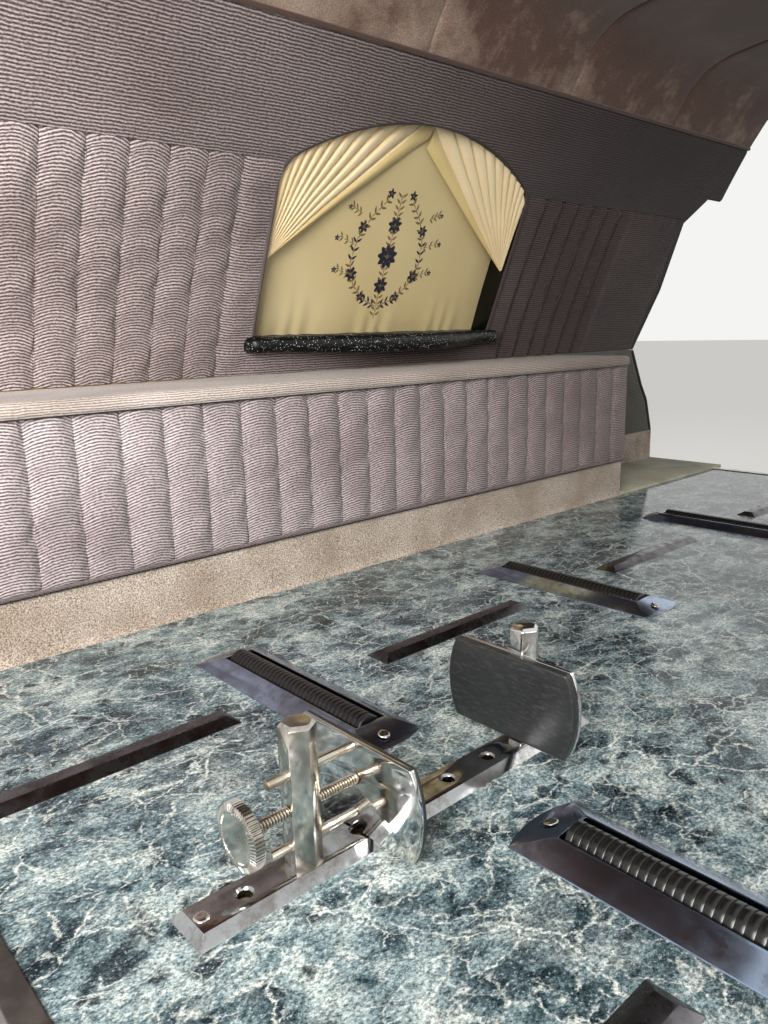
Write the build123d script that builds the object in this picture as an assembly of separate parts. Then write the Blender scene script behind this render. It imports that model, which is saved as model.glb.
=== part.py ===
from build123d import *
import math
import os

# Casket bay of a hearse: the marbled deck with its rollers, skid strips and bier
# pins, the box over the wheel at its left, the leaning trimmed side wall with a
# draped niche and shelf, and the left half of the headliner on its steel hoops.
# Millimetres. X runs to the vehicle's front, Y to its left, Z up. The origin is
# on the deck's centre line, mid-length, at the underside of the bearers.

# Section and deck
SECTION_LENGTH = 2096.0
DECK_WIDTH = 1128.0
DECK_FRONT_CUT = 44.0          # the deck stops this far behind the section's front
BEARER_HEIGHT = 60.0
BEARER_WIDTH = 60.0
BEARER_INSET = 64.0            # outer bearers from the deck's sides
BOARD = 18.0                   # plywood under the laminate and the box
LAMINATE = 2.0
DECK_LEDGE = 36.0              # board beyond the laminate, which carries the box
SILL_WIDTH = 12.0
SILL_LIP = 8.0
LIP_HEIGHT = 2.5

# Wheelhouse box
BOX_END_GAP = 516.0            # from the box's front end to the section's front
BOX_HEIGHT = 330.0             # deck to the lid's top
BOX_DEPTH = 216.0
KICK_HEIGHT = 87.0
PANEL = 12.0                   # plywood of the box and of the lower side
PAD = 12.0                     # padded lining, crown to back
PLEAT_SINK = 4.5               # depth of a sewn line below the crown
KICK = 6.0                     # carpet
LID_PAD = 14.0
LID_OVERHANG = 3.0
FACE_PITCH = 62.0
FACE_FIRST = 51.0              # from the box's front end to the first sewn line

# Leaning wall: an arc about a line along X, seen in the YZ plane
WALL_RADIUS = 2855.6
FOOT_ANGLE = 19.24             # degrees from +Y at the wall's foot
SEWN_RISE = 360.0              # along the arc, from the foot to the sewn seam
JOINT_RISE = 554.0             # along the arc, from the foot to the headliner
WALL_PANEL = 8.0
WALL_TUCK = 13.0               # wall panel below the foot, down to the lower board
REAR_PITCH = 60.8
REAR_LAST = 65.0               # from the niche's rear side to the nearest line
FRONT_PITCH = 57.7
FRONT_FIRST = 54.0             # from the niche's front side to the nearest line
FRONT_LINES = 6
LINING_SINK = 4.0

# Door edge at the wall's front, from the section's front end and up the arc
DOOR_EDGE = (                  # (behind the front end, rise)
    (133.0, 0.0),
    (106.0, 171.0),
    (137.0, 351.0),
    (70.0, 421.0),
)
DOOR_LOW_EDGE = (              # (behind the front end, height over the deck)
    (133.0, 330.0),
    (78.0, 227.0),
    (45.0, 181.0),
    (15.0, 92.0),
)

# Niche
NICHE_CENTRE = 999.0           # from the section's rear end
NICHE_WIDTH = 623.0
NICHE_SILL_RISE = 50.0
NICHE_TOP_RISE = 454.0
NICHE_ARCH = 555.0             # radius of the shallow arch
NICHE_CORNER = 60.0
TRAY_DEPTH = 36.0              # behind the wall panel
TRAY_WALL = 3.0
NICHE_PANEL = 4.0
DRAPE_TIE = 9.0                # behind the wall's face, of a drape's front at its tie
DRAPE_HEM = 33.0               # the same where the hems meet
DRAPE_SIDE = 3.0               # the same at the niche's shoulder
DRAPE_GAP = 1.0
TIE_RISE = 196.0
HEM_TOP_RISE = 436.0
SHELF_OVERLAP = 17.0           # past the niche's side at each end
SHELF_THICK = 27.0
SHELF_TOP = 396.0              # over the deck
SHELF_LEAN = 22.0              # wall's lean between its foot and the shelf
SHELF_END = 26.0               # how far the shelf stands out at its ends
SHELF_BULGE = 78.0             # and at the middle of its serpentine front
SHELF_SEAT = 0.2               # between the shelf's back and the lining
SHELF_BACK = 64.0              # shelf's tongue behind its wall line, into the niche

# Headliner and hoops
HEAD_RISE = 50.0               # straight stretch above the joint
HEAD_BEND = 150.0
CROWN_RADIUS = 3000.0
HEADLINER = 20.0
HOOP_DEPTH = 25.0
HOOP_WIDTH = 30.0
HOOP_REAR_GAP = 15.0           # section's rear end to the first hoop's middle
HOOP_FRONT_GAP = 168.0         # last hoop's middle to the section's front end
HOOP_NICHE_GAP = 40.0          # niche's side to the middle of the hoop beside it
RIDGE_HALF = 15.0

# Rollers and their frames
ROLLER_ROWS = 3
ROW_FIRST = 388.0              # from the section's rear end
ROW_PITCH = 526.0
COLUMN_INSET = 317.0           # frame's centre from the deck's side
FRAME_LENGTH = 326.0
FRAME_WIDTH = 88.0
FRAME_RISE = 12.0
FRAME_FLANGE = 1.2             # thickness at the foot of the slopes
FRAME_RIM = 2.0                # flat edge round the slot
FRAME_BOW = 9.0                # rise of each curved end
ROLLER_LENGTH = 246.0
ROLLER_RADIUS = 16.0
ROLLER_PROUD = 6.0
ROLLER_SIDE_GAP = 3.0
ROLLER_END_GAP = 2.0
AXLE_RADIUS = 4.0
AXLE_GAP = 0.1
TROUGH_WALL = 4.0
TROUGH_END = 14.0
TROUGH_DEPTH = 18.0
POCKET_GAP = 1.0

# Skid strips
STRIP_WIDTH = 40.0
STRIP_LENGTH = 284.0
STRIP_HEIGHT = 8.0
STRIP_BEVEL = 12.0
STRIP_INSET = 310.0            # strip's centre from the deck's side
STRIP_STARTS = (22.0, 514.0, 1024.0, 1552.0)

# Bier rail
RAIL_START = 112.0             # from the section's rear end
RAIL_LENGTH = 452.0
RAIL_WIDTH = 44.5
RAIL_HEIGHT = 8.0
RAIL_BEVEL = 7.0
PEG_FIRST = 48.6
PEG_PITCH = 53.4
PEG_HOLES = 7
PEG_RADIUS = 5.4
PEG_HOLE_RADIUS = 5.5
PEG_SINK = 2.0                 # countersink
PEG_LENGTH = 26.0
PEG_SLOT_GAP = 1.0             # deck's slot under the rail, past the holes

# Bier pins
POST_FLATS = 25.4
POST_HEIGHT = 124.0            # over the deck
POST_BEVEL = 3.0               # at the post's top edges
CLAMP_HOLE = 1                 # rail hole that the clamp stands in
STOP_HOLE = 6
SCREW_HEIGHT = 54.0            # over the deck
SCREW_RADIUS = 4.7625
SCREW_SPIGOT = 3.0
ROD_RADIUS = 4.0
ROD_SPACING = 58.5
ROD_TAIL = 17.0                # rods behind the post
RUN_GAP = 0.1
PLATE_WIDTH = 150.0
CLAMP_PLATE_HEIGHT = 78.5
CLAMP_PLATE_MID = 48.8         # over the deck
STOP_PLATE_HEIGHT = 83.0
STOP_PLATE_MID = 59.0
PLATE_THICK = 4.0
PLATE_BOW = 10.0
CLAMP_PAD = 3.0
STOP_PAD = 9.0
CLAMP_THROW = 39.0             # plate from the post's front flat
KNOB_RADIUS = 26.0
KNOB_THICK = 11.5
KNOB_GAP = 34.0                # knob from the post's rear flat
KNOB_FLUTES = 48
FLUTE_DEPTH = 1.2

CUT_REACH = 40.0               # how far a cutting shape runs past what it cuts

# Places worked out from the sizes above
rear = -SECTION_LENGTH / 2
front = SECTION_LENGTH / 2
deck_rear = rear + SILL_WIDTH
deck_front = front - DECK_FRONT_CUT
deck_half = DECK_WIDTH / 2
board_top = BEARER_HEIGHT + BOARD
deck_top = board_top + LAMINATE
box_front = front - BOX_END_GAP
lid_top = deck_top + BOX_HEIGHT
foot_y = deck_half + BOX_DEPTH
side_y = foot_y + PAD          # inner face of the lower side board
hoop_y = side_y + PANEL        # inner face of the hoops' upright stretch
hoop_inset = PAD + WALL_PANEL
floor_edge = hoop_y + HOOP_DEPTH + 3.0
ledge_y = deck_half + DECK_LEDGE

foot_rad = math.radians(FOOT_ANGLE)
wall_y = foot_y - WALL_RADIUS * math.cos(foot_rad)
wall_z = lid_top - WALL_RADIUS * math.sin(foot_rad)
wall_axis = Axis((0, wall_y, wall_z), (1, 0, 0))
joint_rad = foot_rad + JOINT_RISE / WALL_RADIUS
niche_x = rear + NICHE_CENTRE
niche_half = NICHE_WIDTH / 2
niche_mid_rise = (NICHE_SILL_RISE + NICHE_TOP_RISE) / 2
column_y = deck_half - COLUMN_INSET
strip_y = deck_half - STRIP_INSET
bearer_y = deck_half - BEARER_INSET
slot_width = 2 * (ROLLER_RADIUS + ROLLER_SIDE_GAP)
slot_length = ROLLER_LENGTH + 2 * ROLLER_END_GAP
trough_width = slot_width + 2 * TROUGH_WALL
trough_length = slot_length + 2 * TROUGH_END

slope_side = Vector(0, -math.sin(joint_rad), math.cos(joint_rad))
slope_out = Vector(0, math.cos(joint_rad), math.sin(joint_rad))
joint_point = Vector(0, wall_y, wall_z) + slope_out * WALL_RADIUS
bend_start = joint_point + slope_side * HEAD_RISE
bend_centre = bend_start - slope_out * HEAD_BEND
crown_rad = math.acos(bend_centre.Y / (CROWN_RADIUS - HEAD_BEND))
crown_z = bend_centre.Z - (CROWN_RADIUS - HEAD_BEND) * math.sin(crown_rad)

rail_x = rear + RAIL_START
axle_z = deck_top + FRAME_RISE + ROLLER_PROUD - ROLLER_RADIUS
screw_z = deck_top + SCREW_HEIGHT
post_half = POST_FLATS / 2


def save(node, shape):
    export_step(shape, f"parts/{node}.step")


def block(x0, x1, y0, y1, z0, z1):
    size = Box(x1 - x0, y1 - y0, z1 - z0)
    return Pos((x0 + x1) / 2, (y0 + y1) / 2, (z0 + z1) / 2) * size


def peg_x(hole):
    return rail_x + PEG_FIRST + hole * PEG_PITCH


# Wall built by turning a section about the wall's axis
def arc_point(rise, behind):
    angle = foot_rad + rise / WALL_RADIUS
    reach = WALL_RADIUS + behind
    return Vector(0, wall_y + reach * math.cos(angle), wall_z + reach * math.sin(angle))


def turned(section, low, high):
    start = FOOT_ANGLE + math.degrees(low / WALL_RADIUS)
    sweep = math.degrees((high - low) / WALL_RADIUS)
    return revolve(section.rotate(wall_axis, start), axis=wall_axis, revolution_arc=sweep)


def slab(x0, x1, behind0, behind1, low, high):
    y0 = wall_y + WALL_RADIUS + behind0
    y1 = wall_y + WALL_RADIUS + behind1
    corners = [(x0, y0, wall_z), (x1, y0, wall_z), (x1, y1, wall_z), (x0, y1, wall_z)]
    return turned(make_face(Polyline(*corners, close=True)), low, high)


def scallops(lines, crown_y, sewn_y, z):
    edges = []
    for left, right in zip(lines, lines[1:]):
        middle = ((left + right) / 2, crown_y, z)
        edges.append(ThreePointArc((left, sewn_y, z), middle, (right, sewn_y, z)))
    return edges


def pleated_face(start, lines, end, crown_y, sewn_y, back_y, z):
    edges = scallops(lines, crown_y, sewn_y, z)
    edges += plain_run(start, lines[0], crown_y, sewn_y, z, True)
    edges += plain_run(lines[-1], end, crown_y, sewn_y, z, False)
    edges.append(Polyline((start, crown_y, z), (start, back_y, z), (end, back_y, z),
                          (end, crown_y, z)))
    return make_face(edges)


# A plain stretch beside the pleats: flat, and rolled down to the sewn line
def plain_run(x0, x1, crown_y, sewn_y, z, before):
    roll = min(14.0, (x1 - x0) * 0.6)
    if before:
        flat_end = x1 - roll
        arc = ThreePointArc((flat_end, crown_y, z),
                            (x1 - roll * 0.35, crown_y + (sewn_y - crown_y) * 0.4, z),
                            (x1, sewn_y, z))
        return [Line((x0, crown_y, z), (flat_end, crown_y, z)), arc]
    flat_start = x0 + roll
    arc = ThreePointArc((x0, sewn_y, z),
                        (x0 + roll * 0.35, crown_y + (sewn_y - crown_y) * 0.4, z),
                        (flat_start, crown_y, z))
    return [arc, Line((flat_start, crown_y, z), (x1, crown_y, z))]


# Flat plane against the wall at the niche, for outlines given as (x, rise)
def wall_plane(rise):
    angle = foot_rad + rise / WALL_RADIUS
    normal = (0, math.cos(angle), math.sin(angle))
    return Plane(origin=arc_point(rise, 0), x_dir=(1, 0, 0), z_dir=normal)


NICHE_PLANE = wall_plane(niche_mid_rise)


def flip(points):
    return [(x, niche_mid_rise - rise) for x, rise in points]


def niche_outline(grow):
    half = niche_half + grow
    arch = NICHE_ARCH + grow
    top = NICHE_TOP_RISE + grow
    low = NICHE_SILL_RISE - grow
    spring = top - arch + math.sqrt(arch ** 2 - half ** 2)
    left, right = niche_x - half, niche_x + half
    sides = Polyline(*flip([(left, spring), (left, low), (right, low), (right, spring)]))
    crest = ThreePointArc(*flip([(right, spring), (niche_x, top), (left, spring)]))
    outline = make_face([sides, crest])
    shoulders = outline.vertices().sort_by(Axis.Y)[:2]
    return fillet(shoulders, NICHE_CORNER + grow)


def niche_prism(grow):
    face = NICHE_PLANE * niche_outline(grow)
    return extrude(face, amount=120.0, both=True)


def outline_prism(points):
    face = make_face(Polyline(*flip(points), close=True))
    return extrude(NICHE_PLANE * face, amount=120.0, both=True)


def door_prism():
    edge = [(front - behind, rise) for behind, rise in DOOR_EDGE]
    beyond = [(front + 60.0, edge[-1][1]), (front + 60.0, -60.0), (edge[0][0], -60.0)]
    return outline_prism(edge + beyond)


# Curved ends: straight long sides and bowed short ends, about the origin
def bowed_outline(length, width, bow):
    half_l, half_w = length / 2, width / 2
    side_a = Line((-half_w, -half_l + bow), (-half_w, half_l - bow))
    side_b = Line((half_w, half_l - bow), (half_w, -half_l + bow))
    top = ThreePointArc((-half_w, half_l - bow), (0, half_l), (half_w, half_l - bow))
    bottom = ThreePointArc((half_w, -half_l + bow), (0, -half_l), (-half_w, -half_l + bow))
    return make_face([side_a, top, side_b, bottom])


def deck_parts():
    pockets = []
    low, high = BEARER_HEIGHT - CUT_REACH, deck_top + CUT_REACH
    half_w = trough_width / 2 + POCKET_GAP
    half_l = trough_length / 2 + POCKET_GAP
    for x, y in roller_places().values():
        pockets.append(block(x - half_w, x + half_w, y - half_l, y + half_l, low, high))
    slot = PEG_HOLE_RADIUS + PEG_SLOT_GAP
    pockets.append(block(peg_x(0) - slot, peg_x(PEG_HOLES - 1) + slot, -slot, slot, low, high))

    bearers = []
    for y in (-bearer_y, 0, bearer_y):
        bearers.append(block(deck_rear, deck_front, y - BEARER_WIDTH / 2,
                             y + BEARER_WIDTH / 2, 0, BEARER_HEIGHT))
    bearers.append(block(rear, front, floor_edge - BEARER_WIDTH, floor_edge, 0, BEARER_HEIGHT))
    save("deck_bearers", Compound(bearers))

    board = block(deck_rear, deck_front, -deck_half, ledge_y, BEARER_HEIGHT, board_top)
    save("deck_board", board - pockets)
    sheet = block(deck_rear, deck_front, -deck_half, deck_half, board_top, deck_top)
    save("deck_laminate", sheet - pockets)
    save("side_floor_board", block(rear, front, ledge_y, floor_edge, BEARER_HEIGHT, board_top))

    sill = block(rear, deck_rear, -deck_half, deck_half, BEARER_HEIGHT - 20, deck_top)
    sill += block(rear, deck_rear + SILL_LIP, -deck_half, deck_half, deck_top,
                  deck_top + LIP_HEIGHT)
    sill = fillet(sill.edges().filter_by(Axis.Y).sort_by(Axis.Z)[-2:], 1.2)
    save("rear_sill_trim", sill)

    nose = block(deck_front, deck_front + SILL_WIDTH, -deck_half, deck_half,
                 BEARER_HEIGHT, deck_top)
    nose += block(deck_front - SILL_LIP, deck_front + SILL_WIDTH, -deck_half, deck_half,
                  deck_top, deck_top + LIP_HEIGHT)
    nose = fillet(nose.edges().filter_by(Axis.Y).sort_by(Axis.Z)[-2:], 1.2)
    save("front_edge_trim", nose)


def roller_places():
    places = {}
    for row, name in enumerate(("rear", "middle", "front")[:ROLLER_ROWS]):
        for side, sign in (("left", 1), ("right", -1)):
            x = rear + ROW_FIRST + row * ROW_PITCH
            places[f"{side}_{name}"] = (x, sign * column_y)
    return places


# Sloped hood hipped from the frame's corners to its slot, with the trough below
# and the fixed axle that the drum turns on
def roller_frame():
    foot = Rectangle(FRAME_WIDTH, FRAME_LENGTH - 2 * FRAME_BOW)
    crest = Rectangle(slot_width + 2 * FRAME_RIM, slot_length + 2 * FRAME_RIM)
    hood = extrude(bowed_outline(FRAME_LENGTH, FRAME_WIDTH, FRAME_BOW), amount=FRAME_FLANGE)
    hood += loft([Pos(0, 0, FRAME_FLANGE) * foot, Pos(0, 0, FRAME_RISE) * crest])
    trough = Pos(0, 0, -TROUGH_DEPTH / 2) * Box(trough_width, trough_length, TROUGH_DEPTH)
    slot = Box(slot_width, slot_length, 2 * (FRAME_RISE + TROUGH_DEPTH))
    axle_rise = FRAME_RISE + ROLLER_PROUD - ROLLER_RADIUS
    axle = Pos(0, 0, axle_rise) * Rot(90, 0, 0) * Cylinder(AXLE_RADIUS, slot_length)
    return hood + trough - slot + axle


def roller():
    drum = Cylinder(ROLLER_RADIUS, ROLLER_LENGTH)
    return Rot(90, 0, 0) * (drum - Cylinder(AXLE_RADIUS + AXLE_GAP, ROLLER_LENGTH))


def rollers():
    frame = roller_frame()
    drum = roller()
    for name, (x, y) in roller_places().items():
        save(f"roller_frame_{name}", Pos(x, y, deck_top) * frame)
        save(f"roller_{name}", Pos(x, y, axle_z) * drum)


def skid_strips():
    taper = math.degrees(math.atan2(STRIP_BEVEL, STRIP_HEIGHT))
    strip = extrude(Rectangle(STRIP_LENGTH, STRIP_WIDTH), amount=STRIP_HEIGHT, taper=taper)
    strips = []
    for start in STRIP_STARTS:
        x = rear + start + STRIP_LENGTH / 2
        for y in (-strip_y, strip_y):
            strips.append(Pos(x, y, deck_top) * strip)
    save("skid_strips", Compound(strips))


def bier_rail():
    bar = extrude(Rectangle(RAIL_LENGTH, RAIL_WIDTH), amount=RAIL_HEIGHT,
                  taper=math.degrees(math.atan2(RAIL_BEVEL, RAIL_HEIGHT)))
    bar = Pos(rail_x + RAIL_LENGTH / 2, 0, deck_top) * bar
    top = deck_top + RAIL_HEIGHT
    for hole in range(PEG_HOLES):
        drill = Pos(peg_x(hole), 0, top) * Cylinder(PEG_HOLE_RADIUS, 4 * RAIL_HEIGHT)
        sink = Cone(PEG_HOLE_RADIUS, PEG_HOLE_RADIUS + PEG_SINK, PEG_SINK)
        bar = bar - drill - Pos(peg_x(hole), 0, top - PEG_SINK / 2) * sink
    save("bier_rail", bar)


def post():
    height = POST_HEIGHT - RAIL_HEIGHT
    flats = RegularPolygon(POST_FLATS / 2, 6, major_radius=False)
    if abs(flats.edges().sort_by(Axis.X)[-1].center().Y) > 1e-6:
        flats = Rot(0, 0, 30) * flats
    bar = extrude(flats, amount=height)
    bar = chamfer(bar.edges().group_by(Axis.Z)[-1], POST_BEVEL)
    return bar + Pos(0, 0, -PEG_LENGTH / 2) * Cylinder(PEG_RADIUS, PEG_LENGTH)


def rod_heights():
    return (screw_z - ROD_SPACING / 2, screw_z + ROD_SPACING / 2)


def along_x(radius, x0, x1, z):
    return Pos((x0 + x1) / 2, 0, z) * Rot(0, 90, 0) * Cylinder(radius, x1 - x0)


# Outline's short way stands up, its long way runs along Y
def standing_plate(x0, thick, height, middle):
    upright_face = Plane(origin=(x0, 0, deck_top + middle), x_dir=(0, 0, 1), z_dir=(1, 0, 0))
    outline = bowed_outline(PLATE_WIDTH, height, PLATE_BOW)
    return extrude(upright_face * outline, amount=thick)


def clamp_sheet(x0, thick):
    return standing_plate(x0, thick, CLAMP_PLATE_HEIGHT, CLAMP_PLATE_MID)


def stop_sheet(x0, thick):
    return standing_plate(x0, thick, STOP_PLATE_HEIGHT, STOP_PLATE_MID)


def clamp_pin():
    post_x = peg_x(CLAMP_HOLE)
    rail_top = deck_top + RAIL_HEIGHT
    body = Pos(post_x, 0, rail_top) * post()
    for z in rod_heights():
        body -= along_x(ROD_RADIUS + RUN_GAP, post_x - 20, post_x + 20, z)
    body -= along_x(SCREW_RADIUS + RUN_GAP, post_x - 20, post_x + 20, screw_z)
    save("clamp_post", body)

    plate_x = post_x + post_half + CLAMP_THROW
    plate = clamp_sheet(plate_x, PLATE_THICK)
    plate -= along_x(SCREW_SPIGOT + RUN_GAP, plate_x - 1, plate_x + PLATE_THICK + 1, screw_z)
    save("clamp_plate", plate)
    save("clamp_pad", clamp_sheet(plate_x + PLATE_THICK, CLAMP_PAD))
    tail_x = post_x - post_half - ROD_TAIL
    rods = [along_x(ROD_RADIUS, tail_x, plate_x, z) for z in rod_heights()]
    save("clamp_guide_rods", Compound(rods))

    knob_x = post_x - post_half - KNOB_GAP
    screw = along_x(SCREW_RADIUS, knob_x, plate_x - RUN_GAP, screw_z)
    screw += along_x(SCREW_SPIGOT, plate_x - 1, plate_x + PLATE_THICK - 0.5, screw_z)
    save("clamp_screw", screw)
    save("clamp_knob", knob(knob_x - KNOB_THICK))


# Straight-knurled wheel
def knob(x0):
    teeth = []
    for tooth in range(2 * KNOB_FLUTES):
        reach = KNOB_RADIUS - (tooth % 2) * FLUTE_DEPTH
        angle = math.pi * tooth / KNOB_FLUTES
        teeth.append((reach * math.cos(angle), reach * math.sin(angle)))
    body = extrude(make_face(Polyline(*teeth, close=True)), amount=KNOB_THICK)
    return Pos(x0, 0, screw_z) * Rot(0, 90, 0) * body


def stop_pin():
    post_x = peg_x(STOP_HOLE)
    save("stop_post", Pos(post_x, 0, deck_top + RAIL_HEIGHT) * post())
    plate_x = post_x - post_half - PLATE_THICK
    save("stop_plate", stop_sheet(plate_x, PLATE_THICK))
    save("stop_pad", stop_sheet(plate_x - STOP_PAD, STOP_PAD))


def wheel_box():
    face_y = deck_half + PAD
    top_z = lid_top - LID_PAD
    face = block(rear, box_front - KICK, face_y, face_y + PANEL, board_top, top_z - PANEL)
    end = block(box_front - PANEL - KICK, box_front - KICK, face_y + PANEL, side_y, board_top,
                top_z - PANEL)
    cut_end = block(rear, rear + PANEL, face_y + PANEL, side_y, board_top, top_z - PANEL)
    top = block(rear, box_front - KICK, face_y, side_y, top_z - PANEL, top_z)
    save("box_frame", face + end + cut_end + top)

    line = box_front - FACE_FIRST
    lines = []
    while line > rear + 8.0:
        lines.insert(0, line)
        line -= FACE_PITCH
    section = pleated_face(rear, lines, box_front, deck_half, deck_half + PLEAT_SINK,
                           face_y, deck_top + KICK_HEIGHT)
    save("box_face_pad", extrude(section, amount=top_z - deck_top - KICK_HEIGHT,
                                 dir=(0, 0, 1)))
    save("kick_strip", block(rear, box_front, face_y - KICK, face_y, deck_top,
                             deck_top + KICK_HEIGHT))
    save("box_end_pad", block(box_front - KICK, box_front, face_y, side_y, board_top,
                              top_z))
    lid = block(rear, box_front + LID_OVERHANG, deck_half - LID_OVERHANG, foot_y, top_z,
                lid_top)
    rim = lid.edges().filter_by(Axis.X).sort_by(Axis.Y)[:2]
    lid = fillet(rim, LID_PAD * 0.4)
    save("box_lid_pad", lid)


def side_lower():
    low = board_top
    high = arc_point(-WALL_TUCK, PAD).Z
    edge = [(front - behind, deck_top + height) for behind, height in DOOR_LOW_EDGE]
    edge[0] = (edge[0][0], high)
    outline = [(rear, low), (front, low)] + edge[::-1] + [(rear, high)]
    face = Plane(origin=(0, side_y, 0), x_dir=(1, 0, 0), z_dir=(0, -1, 0))
    board = extrude(face * make_face(Polyline(*outline, close=True)), amount=-PANEL)
    save("side_lower_board", board)

    pad_low = deck_top + KICK
    pad_outline = [(box_front, pad_low), (front, pad_low)]
    pad_outline += edge[:0:-1] + [(edge[0][0], lid_top), (box_front, lid_top)]
    pad = extrude(face * make_face(Polyline(*pad_outline, close=True)), amount=PAD)
    save("side_return_pad", pad)
    save("sill_carpet", block(box_front, front, deck_half, side_y, board_top, deck_top + KICK)
         - block(box_front, deck_front + SILL_WIDTH, 0, deck_half + 1, 0, 200))


def wall():
    niche = niche_prism(0)
    door = door_prism()
    board = slab(rear, front, PAD, PAD + WALL_PANEL, -WALL_TUCK, JOINT_RISE)
    save("wall_board", board - niche - door)

    crown = wall_y + WALL_RADIUS
    line = niche_x - niche_half - REAR_LAST
    lines = []
    while line > rear + 8.0:
        lines.insert(0, line)
        line -= REAR_PITCH
    section = pleated_face(rear, lines, niche_x, crown, crown + LINING_SINK, crown + PAD,
                           wall_z)
    save("lining_rear", turned(section, 0, SEWN_RISE) - niche)

    first = niche_x + niche_half + FRONT_FIRST
    lines = [first + FRONT_PITCH * line for line in range(FRONT_LINES)]
    section = pleated_face(niche_x, lines, front, crown, crown + LINING_SINK, crown + PAD,
                           wall_z)
    save("lining_front", turned(section, 0, SEWN_RISE) - niche - door)
    band = slab(rear, front, 0, PAD, SEWN_RISE, JOINT_RISE)
    save("lining_band", band - niche - door)


def niche_point(x, rise, behind):
    up = rise - niche_mid_rise
    out = math.sqrt((WALL_RADIUS + behind) ** 2 - up ** 2) - WALL_RADIUS
    return NICHE_PLANE.from_local_coords(Vector(x, -up, out))


# The open space in front of a drape, whose flat face leans back from the side to the hem
def drape_room(sign):
    tie = niche_point(niche_x + sign * niche_half, TIE_RISE, DRAPE_TIE)
    meeting = niche_point(niche_x, HEM_TOP_RISE, DRAPE_HEM)
    shoulder = niche_point(niche_x + sign * niche_half, NICHE_TOP_RISE - NICHE_CORNER, DRAPE_SIDE)
    inward = (meeting - tie).cross(shoulder - tie)
    if inward.Y > 0:
        inward = inward * -1
    face = Plane(origin=tie, x_dir=meeting - tie, z_dir=inward)
    room = Box(1600, 1600, 160, align=(Align.CENTER, Align.CENTER, Align.MIN))
    return face * room


def niche_parts():
    shell_back = PAD + WALL_PANEL + TRAY_DEPTH
    outer = niche_prism(TRAY_WALL + 6.0)
    inner = niche_prism(0)
    low, high = NICHE_SILL_RISE - CUT_REACH, NICHE_TOP_RISE + CUT_REACH
    x0, x1 = niche_x - niche_half - CUT_REACH, niche_x + niche_half + CUT_REACH
    tray = outer & slab(x0, x1, PAD + WALL_PANEL, shell_back, low, high)
    tray -= inner & slab(x0, x1, 0, shell_back - TRAY_WALL, low, high)
    save("niche_tray", tray)

    panel_back = shell_back - TRAY_WALL
    fit = niche_prism(-1.0)
    panel = fit & slab(x0, x1, panel_back - NICHE_PANEL, panel_back, low, high)
    save("niche_panel", panel)

    drape_back = panel_back - NICHE_PANEL - DRAPE_GAP
    skin = fit & slab(x0, x1, 0, drape_back, low, high)
    beyond = niche_half + CUT_REACH
    for name, sign in (("front", 1), ("rear", -1)):
        meeting = niche_x + sign * DRAPE_GAP
        hem = [(niche_x + sign * niche_half, TIE_RISE), (meeting, HEM_TOP_RISE),
               (meeting, high), (niche_x + sign * beyond, high),
               (niche_x + sign * beyond, TIE_RISE)]
        save(f"drape_{name}", (skin & outline_prism(hem)) - drape_room(sign))


def shelf_front(half, wall_line):
    reach_end = wall_line - SHELF_END
    reach_mid = wall_line - SHELF_BULGE
    points = [(-half, reach_end), (-half * 0.78, reach_end - 2), (-half * 0.4, reach_mid + 10),
              (0, reach_mid), (half * 0.4, reach_mid + 10), (half * 0.78, reach_end - 2),
              (half, reach_end)]
    return Spline(*points, tangents=[(1, 0), (1, 0)])


def shelf():
    half = niche_half + SHELF_OVERLAP
    top = deck_top + SHELF_TOP
    wall_line = foot_y - SHELF_LEAN
    back = wall_line + SHELF_BACK
    lip = shelf_front(half, wall_line)
    rest = Polyline((half, wall_line - SHELF_END), (half, back), (-half, back),
                    (-half, wall_line - SHELF_END))
    body = extrude(make_face([lip, rest]), amount=SHELF_THICK)
    body = Pos(niche_x, 0, top - SHELF_THICK) * body
    panel_front = PAD + WALL_PANEL + TRAY_DEPTH - TRAY_WALL - NICHE_PANEL
    tongue = body & niche_prism(-1.0)
    tongue &= slab(rear, front, -SHELF_SEAT - 1, panel_front - DRAPE_GAP, 0, TIE_RISE)
    body -= slab(rear, front, -SHELF_SEAT, 2 * CUT_REACH, -CUT_REACH, JOINT_RISE)
    save("niche_shelf", body + tongue)


# Headliner's inner line and its offsets, from the wall's foot to the ridge
def head_line(behind, ridge):
    radius = WALL_RADIUS + behind
    joint = joint_point + slope_out * behind
    straight = bend_start + slope_out * behind
    bend = HEAD_BEND + behind
    half_turn = (joint_rad + crown_rad) / 2
    bend_mid = bend_centre + Vector(0, math.cos(half_turn), math.sin(half_turn)) * bend
    bend_end = bend_centre + Vector(0, math.cos(crown_rad), math.sin(crown_rad)) * bend
    crown = CROWN_RADIUS + behind
    tip = Vector(0, ridge, crown_z + math.sqrt(crown ** 2 - ridge ** 2))
    mid_y = (ridge + bend_end.Y) / 2
    crown_mid = Vector(0, mid_y, crown_z + math.sqrt(crown ** 2 - mid_y ** 2))
    roof = [Line(joint, straight), ThreePointArc(straight, bend_mid, bend_end),
            ThreePointArc(bend_end, crown_mid, tip)]
    return radius, joint, tip, roof


def headliner():
    _, joint_in, tip_in, inner = head_line(0, 0)
    _, joint_out, tip_out, outer = head_line(HEADLINER, 0)
    face = make_face(inner + outer + [Line(joint_in, joint_out), Line(tip_in, tip_out)])
    save("headliner", Pos(rear, 0, 0) * extrude(face, amount=SECTION_LENGTH, dir=(1, 0, 0)))


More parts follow.
